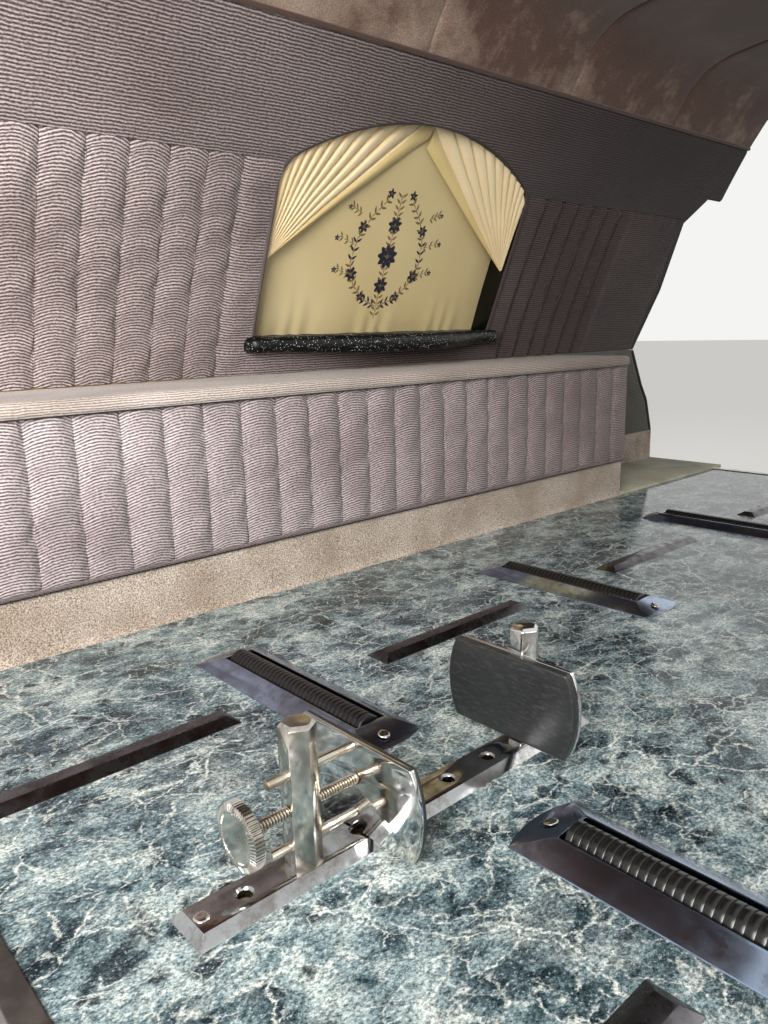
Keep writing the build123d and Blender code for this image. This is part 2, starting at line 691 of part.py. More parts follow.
def upright(behind, y_line):
    radius, joint, tip, roof = head_line(behind, RIDGE_HALF)
    knee_z = wall_z + math.sqrt(radius ** 2 - (y_line - wall_y) ** 2)
    knee = Vector(0, y_line, knee_z)
    knee_rad = math.atan2(knee_z - wall_z, y_line - wall_y)
    mid_rad = (knee_rad + joint_rad) / 2
    mid = Vector(0, wall_y + radius * math.cos(mid_rad), wall_z + radius * math.sin(mid_rad))
    foot = Vector(0, y_line, board_top)
    return foot, tip, [Line(foot, knee), ThreePointArc(knee, mid, joint)] + roof


# One hoop at each side of the niche and at each end, and one midway between them
def hoop_places():
    first, last = rear + HOOP_REAR_GAP, front - HOOP_FRONT_GAP
    before = niche_x - niche_half - HOOP_NICHE_GAP
    after = niche_x + niche_half + HOOP_NICHE_GAP
    return (first, (first + before) / 2, before, after, (after + last) / 2, last)


def hoops():
    foot_in, tip_in, inner = upright(hoop_inset, hoop_y)
    foot_out, tip_out, outer = upright(hoop_inset + HOOP_DEPTH, hoop_y + HOOP_DEPTH)
    face = make_face(inner + outer + [Line(foot_in, foot_out), Line(tip_in, tip_out)])
    hoop = extrude(face, amount=HOOP_WIDTH, dir=(1, 0, 0))
    bows = [Pos(x - HOOP_WIDTH / 2, 0, 0) * hoop for x in hoop_places()]
    save("hoop_ribs", Compound(bows))

    low = crown_z + CROWN_RADIUS + HEADLINER
    save("roof_ridge", block(rear, front, -RIDGE_HALF, RIDGE_HALF, low, low + HOOP_DEPTH))


def main():
    os.makedirs("parts", exist_ok=True)
    deck_parts()
    rollers()
    skid_strips()
    bier_rail()
    clamp_pin()
    stop_pin()
    wheel_box()
    side_lower()
    wall()
    niche_parts()
    shelf()
    headliner()
    hoops()


main()
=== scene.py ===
"""Looks of a hearse's casket bay section: finishes, padded trim, drapes and hardware."""

import contextlib
from math import acos, atan2, cos, exp, hypot, pi, radians, sin, sqrt

import bmesh
import bpy
from mathutils import Matrix, Vector, noise


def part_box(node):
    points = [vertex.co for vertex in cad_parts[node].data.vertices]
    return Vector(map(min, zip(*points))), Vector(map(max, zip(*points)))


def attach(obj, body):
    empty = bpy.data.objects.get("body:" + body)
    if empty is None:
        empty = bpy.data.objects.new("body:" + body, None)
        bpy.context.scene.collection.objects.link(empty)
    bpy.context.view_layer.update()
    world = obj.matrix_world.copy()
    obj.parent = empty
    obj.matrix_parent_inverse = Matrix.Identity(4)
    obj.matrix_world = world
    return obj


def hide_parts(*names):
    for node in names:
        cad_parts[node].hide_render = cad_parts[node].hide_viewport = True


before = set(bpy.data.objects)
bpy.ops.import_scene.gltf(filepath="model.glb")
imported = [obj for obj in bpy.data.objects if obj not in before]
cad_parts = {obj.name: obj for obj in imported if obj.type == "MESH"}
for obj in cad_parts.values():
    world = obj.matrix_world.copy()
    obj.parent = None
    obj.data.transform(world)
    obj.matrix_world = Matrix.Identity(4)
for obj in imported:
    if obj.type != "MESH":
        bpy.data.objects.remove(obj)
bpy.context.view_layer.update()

# Main sizes in metres, as in the model's source
SECTION = 2.096
DECK_HALF = 0.564
DECK_TOP = 0.080
BOX_FRONT = 0.532
KICK_TOP = 0.167
LID_TOP = 0.410
LID_PAD = 0.014
PAD = 0.012
KICK = 0.006
FOOT_Y = 0.780
SIDE_Y = 0.792
WALL_RADIUS = 2.8556
FOOT_ANGLE = radians(19.24)
SEWN_RISE = 0.360
JOINT_RISE = 0.554
FACE_PITCH = 0.062
FACE_FIRST = 0.051
REAR_PITCH = 0.0608
REAR_LAST = 0.065
FRONT_PITCH = 0.0577
FRONT_FIRST = 0.054
FRONT_LINES = 6
NICHE_X = -0.049
NICHE_HALF = 0.3115
NICHE_SILL = 0.050
NICHE_TOP = 0.454
NICHE_ARCH = 0.555
NICHE_CORNER = 0.060
TIE_RISE = 0.196
HEM_TOP = 0.436
PANEL_FRONT = 0.049            # satin panel behind the wall's inner face
SHELF_TOP = 0.396              # over the deck
SHELF_THICK = 0.027
SHELF_END = 0.048              # shelf's ends in front of the wall's foot
SHELF_MIDDLE = 0.100           # and the middle of its serpentine front
SPRAY = 1.28                   # embroidered spray, against its drawn size
SPRAY_MIDDLE = 0.200
DEEPEST = 0.0095               # how far a sewn line may lie behind its padding's face
HEAD_RISE = 0.050
HEAD_BEND = 0.150
CROWN_RADIUS = 3.0
HEADLINER = 0.020
HEAD_SEAMS = (-0.914, -0.522, -0.128, 0.264, 0.654)
REAR = -SECTION / 2
FRONT = SECTION / 2
SHELF_HALF = NICHE_HALF + 0.017
BACK_GAP = 0.0002              # between a padding's back and its panel

# The wall's front edge as (behind the section's front end, rise), and the lower side's as
# (behind the front end, height over the deck)
DOOR_TOP = 0.421
DOOR_EDGE = ((0.133, 0.0), (0.106, 0.171), (0.137, 0.351), (0.070, DOOR_TOP))
DOOR_LOW_EDGE = ((0.078, 0.227), (0.045, 0.181), (0.015, 0.092), (0.015, KICK))

# The camera, solved from the photograph's straight lines: degrees, and millimetres of lens
EYE = (-1.136, -0.440, 0.480)
YAW, PITCH, ROLL = 41.812, 12.928, -1.547
LENS, SENSOR = 27.742, 36.0

# Soft lamps: name, place, what they point at, size and watts
LAMPS = (
    ("tailgate_light", (-1.95, -0.70, 1.05), (-0.25, 0.30, 0.0), 1.1, 20.0),
    ("loading_light", (-1.60, -0.55, 0.75), (-0.85, 0.60, 0.62), 0.6, 7.5),
    ("side_light", (-0.5, -2.8, 1.4), (-0.1, 0.6, 0.5), 2.0, 5.0),
    ("front_light", (2.6, -1.9, 1.5), (0.6, 0.3, 0.1), 1.4, 3.0),
    ("outer_light", (0.6, 3.4, 2.2), (0.0, 0.6, 0.6), 1.8, 20.0))
LAMP_SPREAD = radians(110.0)
LAMP_COLOUR = (1.0, 0.985, 0.96)
WORLD_DIM = 0.085              # the grey world's strength where it lights the object
FLOOR_GLOW = 0.62              # share of the floor's colour that the camera sees unlit

wall_y = FOOT_Y - WALL_RADIUS * cos(FOOT_ANGLE)
wall_z = LID_TOP - WALL_RADIUS * sin(FOOT_ANGLE)
niche_mid = (NICHE_SILL + NICHE_TOP) / 2


# Nodes and materials

def linear(hex_value):
    """An sRGB hex colour as linear red, green, blue and alpha."""
    parts = [int(hex_value[i:i + 2], 16) / 255 for i in (1, 3, 5)]
    return tuple(c / 12.92 if c < 0.04045 else ((c + 0.055) / 1.055) ** 2.4 for c in parts) + (1.0,)


def add(tree, kind, inputs=None, stops=None, **settings):
    """Adds a shader node: its settings, its inputs as values or sockets, and a ramp's stops."""
    made = tree.nodes.new("ShaderNode" + kind)
    for key, value in settings.items():
        setattr(made, key, value)
    for key, value in (inputs or {}).items():
        if isinstance(value, bpy.types.NodeSocket):
            tree.links.new(value, made.inputs[key])
        else:
            made.inputs[key].default_value = value
    if stops:
        marks = made.color_ramp.elements
        while len(marks) < len(stops):
            marks.new(0.5)
        for mark, (place, hex_value) in zip(marks, stops):
            mark.position = place
            mark.color = linear(hex_value)
    return made


def new_material(name, **sockets):
    """A material with one Principled shader; sockets are its inputs, with _ for a space."""
    material = bpy.data.materials.new(name)
    material.use_nodes = True
    tree = material.node_tree
    shader = tree.nodes["Principled BSDF"]
    for key, value in sockets.items():
        shader.inputs[key.replace("_", " ")].default_value = value
    return material, tree, shader


def marble_laminate():
    # High-pressure laminate printed as green-blue marble under a gloss wear layer: pale
    # branching veins round dark blotches, crystal speckle, and clear reflections at a low angle
    material, tree, shader = new_material("marble_laminate", Roughness=0.16, IOR=1.36)
    place = add(tree, "TexCoord").outputs["Object"]
    slant = add(tree, "Mapping", {"Vector": place, "Rotation": (0.0, 0.0, 0.6),
                                  "Scale": (1.0, 1.35, 1.0)}).outputs[0]
    drift = add(tree, "TexNoise", {"Vector": slant, "Scale": 9.0, "Detail": 7.0,
                                   "Roughness": 0.62})
    bent = add(tree, "VectorMath", {0: drift.outputs["Color"], 1: (0.085, 0.085, 0.0), 2: slant},
               operation="MULTIPLY_ADD").outputs[0]
    clouds = add(tree, "TexNoise", {"Vector": bent, "Scale": 15.0, "Detail": 12.0,
                                    "Roughness": 0.72})
    shade = add(tree, "ValToRGB", {"Fac": clouds.outputs["Fac"]},
                stops=((0.35, "#24303A"), (0.43, "#566A71"), (0.50, "#93A6AA"),
                       (0.57, "#BECBC9"), (0.67, "#EEF2EC"))).outputs["Color"]
    # Slate clouds a few centimetres wide
    mass = add(tree, "TexNoise", {"Vector": bent, "Scale": 6.5, "Detail": 6.0,
                                  "Roughness": 0.58})
    deep = add(tree, "MapRange", {"Value": mass.outputs["Fac"], "From Min": 0.50,
                                  "From Max": 0.60, "To Max": 0.62})
    shade = add(tree, "Mix", {0: deep.outputs[0], 6: shade, 7: linear("#2E3C45")},
                data_type="RGBA").outputs[2]
    # Dark blotches about a centimetre across, crowded in some places
    spots = add(tree, "TexVoronoi", {"Vector": bent, "Scale": 42.0},
                feature="SMOOTH_F1")
    where = add(tree, "TexNoise", {"Vector": place, "Scale": 9.0, "Detail": 5.0,
                                   "Roughness": 0.6})
    core = add(tree, "MapRange", {"Value": spots.outputs["Distance"], "From Min": 0.44,
                                  "From Max": 0.20, "To Max": 0.90})
    there = add(tree, "MapRange", {"Value": where.outputs["Fac"], "From Min": 0.44,
                                   "From Max": 0.55})
    dark = add(tree, "Math", {0: core.outputs[0], 1: there.outputs[0]}, operation="MULTIPLY")
    shade = add(tree, "Mix", {0: dark.outputs[0], 6: shade, 7: linear("#222F38")},
                data_type="RGBA").outputs[2]
    # Veins: long ones a few millimetres wide, and two finer nets that break off
    for scale, width, strength in ((5.5, 0.0115, 0.95), (14.0, 0.025, 0.88), (40.0, 0.066, 0.68)):
        cells = add(tree, "TexVoronoi", {"Vector": bent, "Scale": scale},
                    feature="DISTANCE_TO_EDGE")
        broken = add(tree, "TexNoise", {"Vector": place, "Scale": scale * 0.9, "Detail": 5.0,
                                        "Roughness": 0.7})
        line = add(tree, "MapRange", {"Value": cells.outputs["Distance"], "From Min": 0.0,
                                      "From Max": width, "To Min": strength, "To Max": 0.0},
                   interpolation_type="SMOOTHSTEP")
        gate = add(tree, "MapRange", {"Value": broken.outputs["Fac"], "From Min": 0.455,
                                      "From Max": 0.535})
        veil = add(tree, "Math", {0: line.outputs[0], 1: gate.outputs[0]}, operation="MULTIPLY")
        shade = add(tree, "Mix", {0: veil.outputs[0], 6: shade, 7: linear("#F2F4EC")},
                    data_type="RGBA").outputs[2]
    # Crystal speckle of about 2 mm
    speck = add(tree, "TexNoise", {"Vector": slant, "Scale": 330.0, "Detail": 4.0,
                                   "Roughness": 0.80})
    grain = add(tree, "ValToRGB", {"Fac": speck.outputs["Fac"]},
                stops=((0.37, "#4F5B60"), (0.47, "#B6BEC0"), (0.56, "#FFFFFF")))
    shade = add(tree, "Mix", {0: 0.95, 6: shade, 7: grain.outputs["Color"]},
                data_type="RGBA", blend_type="MULTIPLY").outputs[2]
    glitter = add(tree, "MapRange", {"Value": speck.outputs["Fac"], "From Min": 0.585,
                                     "From Max": 0.68, "To Max": 0.7})
    shade = add(tree, "Mix", {0: glitter.outputs[0], 6: shade, 7: linear("#E9EFEC")},
                data_type="RGBA").outputs[2]
    tree.links.new(shade, shader.inputs["Base Color"])
    dust = add(tree, "TexNoise", {"Vector": place, "Scale": 5.0, "Detail": 6.0})
    haze = add(tree, "MapRange", {"Value": dust.outputs["Fac"], "From Min": 0.35, "From Max": 0.7,
                                  "To Min": 0.08, "To Max": 0.22})
    tree.links.new(haze.outputs[0], shader.inputs["Roughness"])
    return material


def ribbed_cloth(name, valley, crest, worn, shaded="#C2BEBE", pitch=0.0040):
    # Corded body cloth in rows of short pale floats, darkened towards the front by painted shade that
    # stands for the light falling off away from the tailgate: the real rows are under 2 mm apart, and are
    # drawn coarser so that they show
    material, tree, shader = new_material(name, Roughness=0.92, IOR=1.45, Sheen_Weight=0.15,
                                          Sheen_Roughness=0.5)
    place = add(tree, "TexCoord").outputs["UV"]
    uneven = add(tree, "TexNoise", {"Vector": place, "Scale": 45.0, "Detail": 3.0})
    drawn = add(tree, "VectorMath", {0: uneven.outputs["Color"], 1: (0.004, 0.004, 0.0),
                                     2: place}, operation="MULTIPLY_ADD").outputs[0]
    rows = add(tree, "TexWave", {"Vector": drawn, "Scale": 0.31416 / pitch, "Distortion": 0.6,
                                 "Detail": 2.0, "Detail Scale": 2.0},
               bands_direction="Y")
    short = add(tree, "Mapping", {"Vector": place, "Scale": (260.0, 520.0, 1.0)})
    floats = add(tree, "TexNoise", {"Vector": short.outputs[0], "Scale": 1.0, "Detail": 2.0,
                                    "Roughness": 0.6})
    dashes = add(tree, "MapRange", {"Value": floats.outputs["Fac"], "From Min": 0.36,
                                    "From Max": 0.64, "To Min": -0.32, "To Max": 0.32})
    height = add(tree, "Math", {0: rows.outputs["Fac"], 1: dashes.outputs[0]}, operation="ADD")
    # The weave's colour follows the rows' height: darker in the grooves between rows, painted shade
    # there, and paler on the floats
    weave = add(tree, "ValToRGB", {"Fac": height.outputs[0]},
                stops=((0.10, valley), (0.58, crest), (0.98, worn)))
    spread = add(tree, "Mapping", {"Vector": place, "Scale": (3.2, 5.0, 1.0)})
    patch = add(tree, "TexNoise", {"Vector": spread.outputs[0], "Scale": 1.0, "Detail": 5.0,
                                   "Roughness": 0.6})
    tone = add(tree, "ValToRGB", {"Fac": patch.outputs["Fac"]},
               stops=((0.30, "#C8C2BF"), (0.50, "#E9E7E5"), (0.70, "#FFFFFF")))
    shade = add(tree, "Mix", {0: 1.0, 6: weave.outputs["Color"], 7: tone.outputs["Color"]},
                data_type="RGBA", blend_type="MULTIPLY").outputs[2]
    # Painted shade: from the rear (x -0.95) to the front (x 0.55) the colour is multiplied down to
    # shaded, for the light falling off away from the tailgate
    ends = add(tree, "SeparateXYZ", {"Vector": place})
    painted_falloff_share = add(tree, "MapRange", {"Value": ends.outputs[0], "From Min": 0.55,
                                      "From Max": -0.95}, interpolation_type="SMOOTHSTEP")
    painted_falloff_tint = add(tree, "Mix", {0: painted_falloff_share.outputs[0], 6: linear(shaded), 7: linear("#FFFFFF")},
              data_type="RGBA")
    shade = add(tree, "Mix", {0: 1.0, 6: shade, 7: painted_falloff_tint.outputs[2]},
                data_type="RGBA", blend_type="MULTIPLY").outputs[2]
    tree.links.new(shade, shader.inputs["Base Color"])
    bump = add(tree, "Bump", {"Height": height.outputs[0], "Strength": 0.5,
                              "Distance": 0.0007})
    tree.links.new(bump.outputs[0], shader.inputs["Normal"])
    return material


def carpet(name, low, high, tuft=0.0016):
    # Short cut-pile automotive carpet: speckled tufts of two yarns, no gloss
    material, tree, shader = new_material(name, Roughness=0.98, Sheen_Weight=0.15)
    place = add(tree, "TexCoord").outputs["Object"]
    tufts = add(tree, "TexVoronoi", {"Vector": place, "Scale": 1 / tuft})
    yarn = add(tree, "TexNoise", {"Vector": place, "Scale": 0.6 / tuft, "Detail": 3.0,
                                  "Roughness": 0.7})
    fade = add(tree, "TexNoise", {"Vector": place, "Scale": 9.0, "Detail": 5.0})
    mixed = add(tree, "ValToRGB", {"Fac": yarn.outputs["Fac"]},
                stops=((0.38, low), (0.62, high)))
    tone = add(tree, "ValToRGB", {"Fac": fade.outputs["Fac"]},
               stops=((0.33, "#C4B9AC"), (0.62, "#FFFFFF")))
    shade = add(tree, "Mix", {0: 0.8, 6: mixed.outputs["Color"], 7: tone.outputs["Color"]},
                data_type="RGBA", blend_type="MULTIPLY")
    tree.links.new(shade.outputs[2], shader.inputs["Base Color"])
    bump = add(tree, "Bump", {"Height": tufts.outputs["Distance"], "Strength": 0.8,
                              "Distance": 0.0011}, invert=True)
    tree.links.new(bump.outputs[0], shader.inputs["Normal"])
    return material


def velour():
    # Knitted velour: brown nap, paler from brushing in patches low down, where hands reach it, and
    # darkened towards the front by painted shade for the light falling off away from the tailgate
    material, tree, shader = new_material("headliner_velour", Roughness=0.95, Sheen_Weight=0.35,
                                          Sheen_Roughness=0.4)
    place = add(tree, "TexCoord").outputs["UV"]
    nap = add(tree, "TexNoise", {"Vector": place, "Scale": 6.0, "Detail": 10.0,
                                 "Roughness": 0.72, "Distortion": 0.15})
    height = add(tree, "SeparateXYZ", {"Vector": place})
    low = add(tree, "MapRange", {"Value": height.outputs[1], "From Min": 0.02, "From Max": 0.30,
                                 "To Min": 0.12, "To Max": -0.12})
    # Painted shade: the nap darkens from x -0.3 to x 0.5, towards the front, for the light's fall-off
    rear = add(tree, "MapRange", {"Value": height.outputs[0], "From Min": -0.3, "From Max": 0.5,
                                  "To Min": 0.02, "To Max": -0.07})
    brushed_and_shaded = add(tree, "Math", {0: nap.outputs["Fac"], 1: low.outputs[0]}, operation="ADD")
    brushed_and_shaded = add(tree, "Math", {0: brushed_and_shaded.outputs[0], 1: rear.outputs[0]}, operation="ADD")
    pile = add(tree, "TexNoise", {"Vector": place, "Scale": 420.0, "Detail": 2.0})
    tone = add(tree, "ValToRGB", {"Fac": brushed_and_shaded.outputs[0]},
               stops=((0.36, "#5B4238"), (0.53, "#6B4F43"), (0.61, "#8E7567"),
                      (0.74, "#B29B8A")))
    fuzz = add(tree, "ValToRGB", {"Fac": pile.outputs["Fac"]},
               stops=((0.35, "#A8A8A8"), (0.65, "#FFFFFF")))
    shade = add(tree, "Mix", {0: 0.7, 6: tone.outputs["Color"], 7: fuzz.outputs["Color"]},
                data_type="RGBA", blend_type="MULTIPLY")
    tree.links.new(shade.outputs[2], shader.inputs["Base Color"])
    bump = add(tree, "Bump", {"Height": pile.outputs["Fac"], "Strength": 0.4,
                              "Distance": 0.0004})
    tree.links.new(bump.outputs[0], shader.inputs["Normal"])
    return material


def satin(name, shadow, body, gleam, roughness=0.38):
    # Woven satin: smooth floats with a soft gleam and a faint cross weave; its colour drifts in soft
    # patches from a painted shadow to a painted gleam
    material, tree, shader = new_material(name, Roughness=roughness, IOR=1.5, Sheen_Weight=0.3,
                                          Sheen_Roughness=0.3)
    place = add(tree, "TexCoord").outputs["UV"]
    painted_shade_and_gleam = add(tree, "TexNoise", {"Vector": place, "Scale": 3.4, "Detail": 2.0})
    tone = add(tree, "ValToRGB", {"Fac": painted_shade_and_gleam.outputs["Fac"]},
               stops=((0.22, shadow), (0.50, body), (0.78, gleam)))
    tree.links.new(tone.outputs["Color"], shader.inputs["Base Color"])
    weave = add(tree, "TexWave", {"Vector": place, "Scale": pi / 10 / 0.0011,
                                  "Distortion": 0.6}, bands_direction="X")
    bump = add(tree, "Bump", {"Height": weave.outputs["Fac"], "Strength": 0.14,
                              "Distance": 0.0003})
    tree.links.new(bump.outputs[0], shader.inputs["Normal"])
    return material


def polished(name, base, stain, roughness, scratch=0.04):
    # Plated or stainless metal: mirror bright, with wiping marks, dull stains and fine scratches
    material, tree, shader = new_material(name, Metallic=1.0, Roughness=roughness)
    place = add(tree, "TexCoord").outputs["Object"]
    marks = add(tree, "TexNoise", {"Vector": place, "Scale": 34.0, "Detail": 7.0,
                                   "Roughness": 0.7})
    tone = add(tree, "ValToRGB", {"Fac": marks.outputs["Fac"]}, stops=((0.36, stain), (0.56, base)))
    tree.links.new(tone.outputs["Color"], shader.inputs["Base Color"])
    dull = add(tree, "MapRange", {"Value": marks.outputs["Fac"], "From Min": 0.36,
                                  "From Max": 0.6, "To Min": roughness * 2.6,
                                  "To Max": roughness})
    tree.links.new(dull.outputs[0], shader.inputs["Roughness"])
    stretched = add(tree, "Mapping", {"Vector": place, "Scale": (120.0, 2200.0, 2200.0),
                                      "Rotation": (0.2, 0.3, 0.5)})
    lines = add(tree, "TexNoise", {"Vector": stretched.outputs[0], "Scale": 1.0, "Detail": 2.0})
    bump = add(tree, "Bump", {"Height": lines.outputs["Fac"], "Strength": scratch,
                              "Distance": 0.0001})
    tree.links.new(bump.outputs[0], shader.inputs["Normal"])
    return material


def rubber(name, base, scuff, roughness=0.5):
    # Moulded rubber: near black, dull, with pale dusty scuffs
    material, tree, shader = new_material(name, Roughness=roughness, IOR=1.5)
    place = add(tree, "TexCoord").outputs["Object"]
    stretched = add(tree, "Mapping", {"Vector": place, "Scale": (420.0, 90.0, 420.0),
                                      "Rotation": (0.5, 0.0, 0.2)})
    scuffs = add(tree, "TexNoise", {"Vector": stretched.outputs[0], "Scale": 1.0,
                                    "Detail": 6.0, "Roughness": 0.75})
    tone = add(tree, "ValToRGB", {"Fac": scuffs.outputs["Fac"]},
               stops=((0.50, base), (0.72, scuff)))
    tree.links.new(tone.outputs["Color"], shader.inputs["Base Color"])
    bump = add(tree, "Bump", {"Height": scuffs.outputs["Fac"], "Strength": 0.06,
                              "Distance": 0.0002})
    tree.links.new(bump.outputs[0], shader.inputs["Normal"])
    return material


def timber(name, early, late, grain, roughness=0.62):
    # Planed wood or birch veneer: rings stretched along the length
    material, tree, shader = new_material(name, Roughness=roughness, IOR=1.5)
    place = add(tree, "TexCoord").outputs["Object"]
    long = add(tree, "Mapping", {"Vector": place, "Scale": (0.7, 9.0, 9.0)})
    rings = add(tree, "TexNoise", {"Vector": long.outputs[0], "Scale": grain, "Detail": 6.0,
                                   "Distortion": 1.2})
    tone = add(tree, "ValToRGB", {"Fac": rings.outputs["Fac"]},
               stops=((0.38, late), (0.56, early), (0.66, late)))
    tree.links.new(tone.outputs["Color"], shader.inputs["Base Color"])
    bump = add(tree, "Bump", {"Height": rings.outputs["Fac"], "Strength": 0.25,
                              "Distance": 0.0006})
    tree.links.new(bump.outputs[0], shader.inputs["Normal"])
    return material


def painted(name, base, worn, roughness, metallic=0.0):
    # Sprayed satin coat, faintly orange-peeled and rubbed
    material, tree, shader = new_material(name, Roughness=roughness, Metallic=metallic)
    place = add(tree, "TexCoord").outputs["Object"]
    rubbed = add(tree, "TexNoise", {"Vector": place, "Scale": 45.0, "Detail": 6.0})
    tone = add(tree, "ValToRGB", {"Fac": rubbed.outputs["Fac"]},
               stops=((0.45, base), (0.75, worn)))
    tree.links.new(tone.outputs["Color"], shader.inputs["Base Color"])
    peel = add(tree, "TexNoise", {"Vector": place, "Scale": 900.0, "Detail": 1.0})
    bump = add(tree, "Bump", {"Height": peel.outputs["Fac"], "Strength": 0.12,
                              "Distance": 0.0002})
    tree.links.new(bump.outputs[0], shader.inputs["Normal"])
    return material


def sparkle_lacquer():
    # Black lacquer over metal flake: a dark gloss, with the flakes' pinpoint glints painted in as pale
    # specks in its colour
    material, tree, shader = new_material("sparkle_lacquer", Roughness=0.36, IOR=1.34)
    place = add(tree, "TexCoord").outputs["Object"]
    flakes = add(tree, "TexVoronoi", {"Vector": place, "Scale": 380.0})
    bright = add(tree, "SeparateColor", {"Color": flakes.outputs["Color"]})
    glint = add(tree, "MapRange", {"Value": bright.outputs[0], "From Min": 0.58,
                                   "From Max": 1.0})
    core = add(tree, "MapRange", {"Value": flakes.outputs["Distance"], "From Min": 0.34,
                                  "From Max": 0.20})
    # Painted glints: near-white diffuse specks in the base colour, bright under any light
    painted_glints = add(tree, "Math", {0: glint.outputs[0], 1: core.outputs[0]}, operation="MULTIPLY")
    shade = add(tree, "Mix", {0: painted_glints.outputs[0], 6: linear("#040505"), 7: linear("#F2F6F4")},
                data_type="RGBA")
    tree.links.new(shade.outputs[2], shader.inputs["Base Color"])
    return material


MATERIALS = {
    "marble_laminate": marble_laminate(),
    "timber": timber("planed_softwood", "#CFAE7C", "#B08A58", 9.0),
    "plywood": timber("birch_plywood", "#D3B78C", "#BE9C6E", 6.0),
    "brown_sill": painted("brown_sill_paint", "#2B2522", "#4B4440", 0.46),
    "aluminium_nosing": polished("aluminium_nosing", "#C9C9C5", "#A3A29C", 0.22),
    # Painted reflection: the stainless base is tinted dark blue, so that the brown cloth it mirrors reads
    # as sky reflected in steel
    "stainless": polished("stainless_painted_sky_reflection", "#A4B3CC", "#7B818F", 0.10, 0.08),
    "rail_steel": polished("polished_rail_steel", "#B9BABC", "#8A8886", 0.08, 0.06),
    # The skid strips' steel is darker than the rail's
    "skid_steel": polished("dark_skid_steel", "#716F72", "#484548", 0.15, 0.06),
    "chrome": polished("chrome_plate", "#DDDEDE", "#B7B2A9", 0.06),
    "nickel": polished("aged_nickel", "#D2CEC7", "#9E978C", 0.10),
    "brass": polished("champagne_plate", "#D6CFC2", "#A3957F", 0.15),
    # The screw's core between the thread's turns is darker than its ridge
    "dark_thread_root": polished("dark_screw_root", "#5A4C3C", "#2E261E", 0.38),
    "black_rubber": rubber("roller_rubber", "#121212", "#24221F", 0.24),
    "pad_rubber": rubber("pad_rubber", "#202121", "#3F403F", 0.38),
    # The last colour of each ribbed cloth here is shaded, its painted shade at the front
    "ribbed_cloth": ribbed_cloth("mauve_body_cloth", "#5E5155", "#B6A9AA", "#D9CFD0", "#CCC4C3"),
    "wall_cloth": ribbed_cloth("wall_body_cloth", "#524649", "#A0918F", "#D6C9C6", "#6E6061", 0.0047),
    # band_cloth is a darker copy of wall_cloth: painted shade for the dimmer light on the upper band
    "band_cloth": ribbed_cloth("band_body_cloth", "#483D40", "#8C7D7B", "#C2B5B2", "#62565A", 0.0047),
    "lid_cloth": ribbed_cloth("lid_body_cloth", "#9C8E87", "#D9CCC4", "#F4ECE5", "#BFB7B2", 0.0034),
    "return_cloth": ribbed_cloth("return_body_cloth", "#5F625A", "#7E8177", "#97998F"),
    "kick_carpet": carpet("kick_carpet", "#78675A", "#E6D8C9", 0.0013),
    "sill_carpet": carpet("sill_carpet", "#A3A28D", "#D3D2BB"),
    "velour": velour(),
    "satin": satin("gold_satin", "#C8B382", "#D3BF8F", "#DECDA1"),
    "drape_satin": satin("ivory_satin", "#DDC08C", "#EFD9AF", "#F8E8C8", 0.42),
    "hem_satin": satin("hem_satin", "#C9AC68", "#DEC58A", "#E8D49E", 0.36),
    "tray_black": carpet("black_flock", "#121014", "#2C292E"),
    "shelf_black": sparkle_lacquer(),
    "hoop_steel": painted("grey_primer", "#5A5D60", "#73767A", 0.55, 0.2),
    "dark_thread": satin("navy_thread", "#12141C", "#1C2130", "#343C50", 0.3),
    "bronze_thread": satin("bronze_thread", "#4F4028", "#776242", "#A08A60", 0.3),
    # Dark tubes laid along seams and folds, painted shadow
    "painted_shadow_line": satin("painted_shadow_line", "#161012", "#211A1C", "#30282A", 0.6),
    "door_seal": rubber("door_seal", "#0E0E0F", "#262626", 0.6),
}


# Mesh helpers

def only(piece):
    """Selects this piece alone and makes it active."""
    bpy.ops.object.select_all(action="DESELECT")
    piece.select_set(True)
    bpy.context.view_layer.objects.active = piece


@contextlib.contextmanager
def editing(piece):
    """Edit mode on the whole of a piece."""
    only(piece)
    bpy.ops.object.mode_set(mode="EDIT")
    bpy.ops.mesh.select_all(action="SELECT")
    yield
    bpy.ops.object.mode_set(mode="OBJECT")


def placed(name, data):
    """A new object in the scene."""
    piece = bpy.data.objects.new(name, data)
    bpy.context.collection.objects.link(piece)
    return piece


def primitive(name, kind, **settings):
    """A new mesh primitive, where kind is the operator that adds it."""
    bpy.ops.object.select_all(action="DESELECT")
    kind(**settings)
    piece = bpy.context.view_layer.objects.active
    piece.name = name
    return piece


def built(name, points, faces, flat=None, edges=(), outward=False):
    """A mesh object from its points and faces, with flat as its UV where that is given."""
    mesh = bpy.data.meshes.new(name)
    mesh.from_pydata([tuple(point) for point in points], edges, faces)
    if flat:
        layer = mesh.uv_layers.new(name="flat")
        for loop in mesh.loops:
            layer.data[loop.index].uv = flat[loop.vertex_index]
    piece = placed(name, mesh)
    if outward:
        with editing(piece):
            bpy.ops.mesh.normals_make_consistent(inside=False)
    return piece


def dress(piece, material, body="root", smooth=35.0, replaces=()):
    """Gives a finished piece its material, body and shading."""
    piece.data.materials.clear()
    piece.data.materials.append(MATERIALS[material])
    only(piece)
    if smooth:
        bpy.ops.object.shade_smooth_by_angle(angle=radians(smooth))
    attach(piece, body)
    if replaces:
        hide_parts(*replaces)


def upholstered(piece, material, fill, *nodes, slot=None):
    """Gives a padded piece its cloth and the nodes it stands for; how firmly it is filled (fill) is not
    used.
    """
    dress(piece, material, smooth=60, replaces=nodes)


def apply(piece, kind, **settings):
    """Adds one modifier with its settings and applies it."""
    only(piece)
    modifier = piece.modifiers.new(kind.lower(), kind)
    for key, value in settings.items():
        setattr(modifier, key, value)
    bpy.ops.object.modifier_apply(modifier=modifier.name)


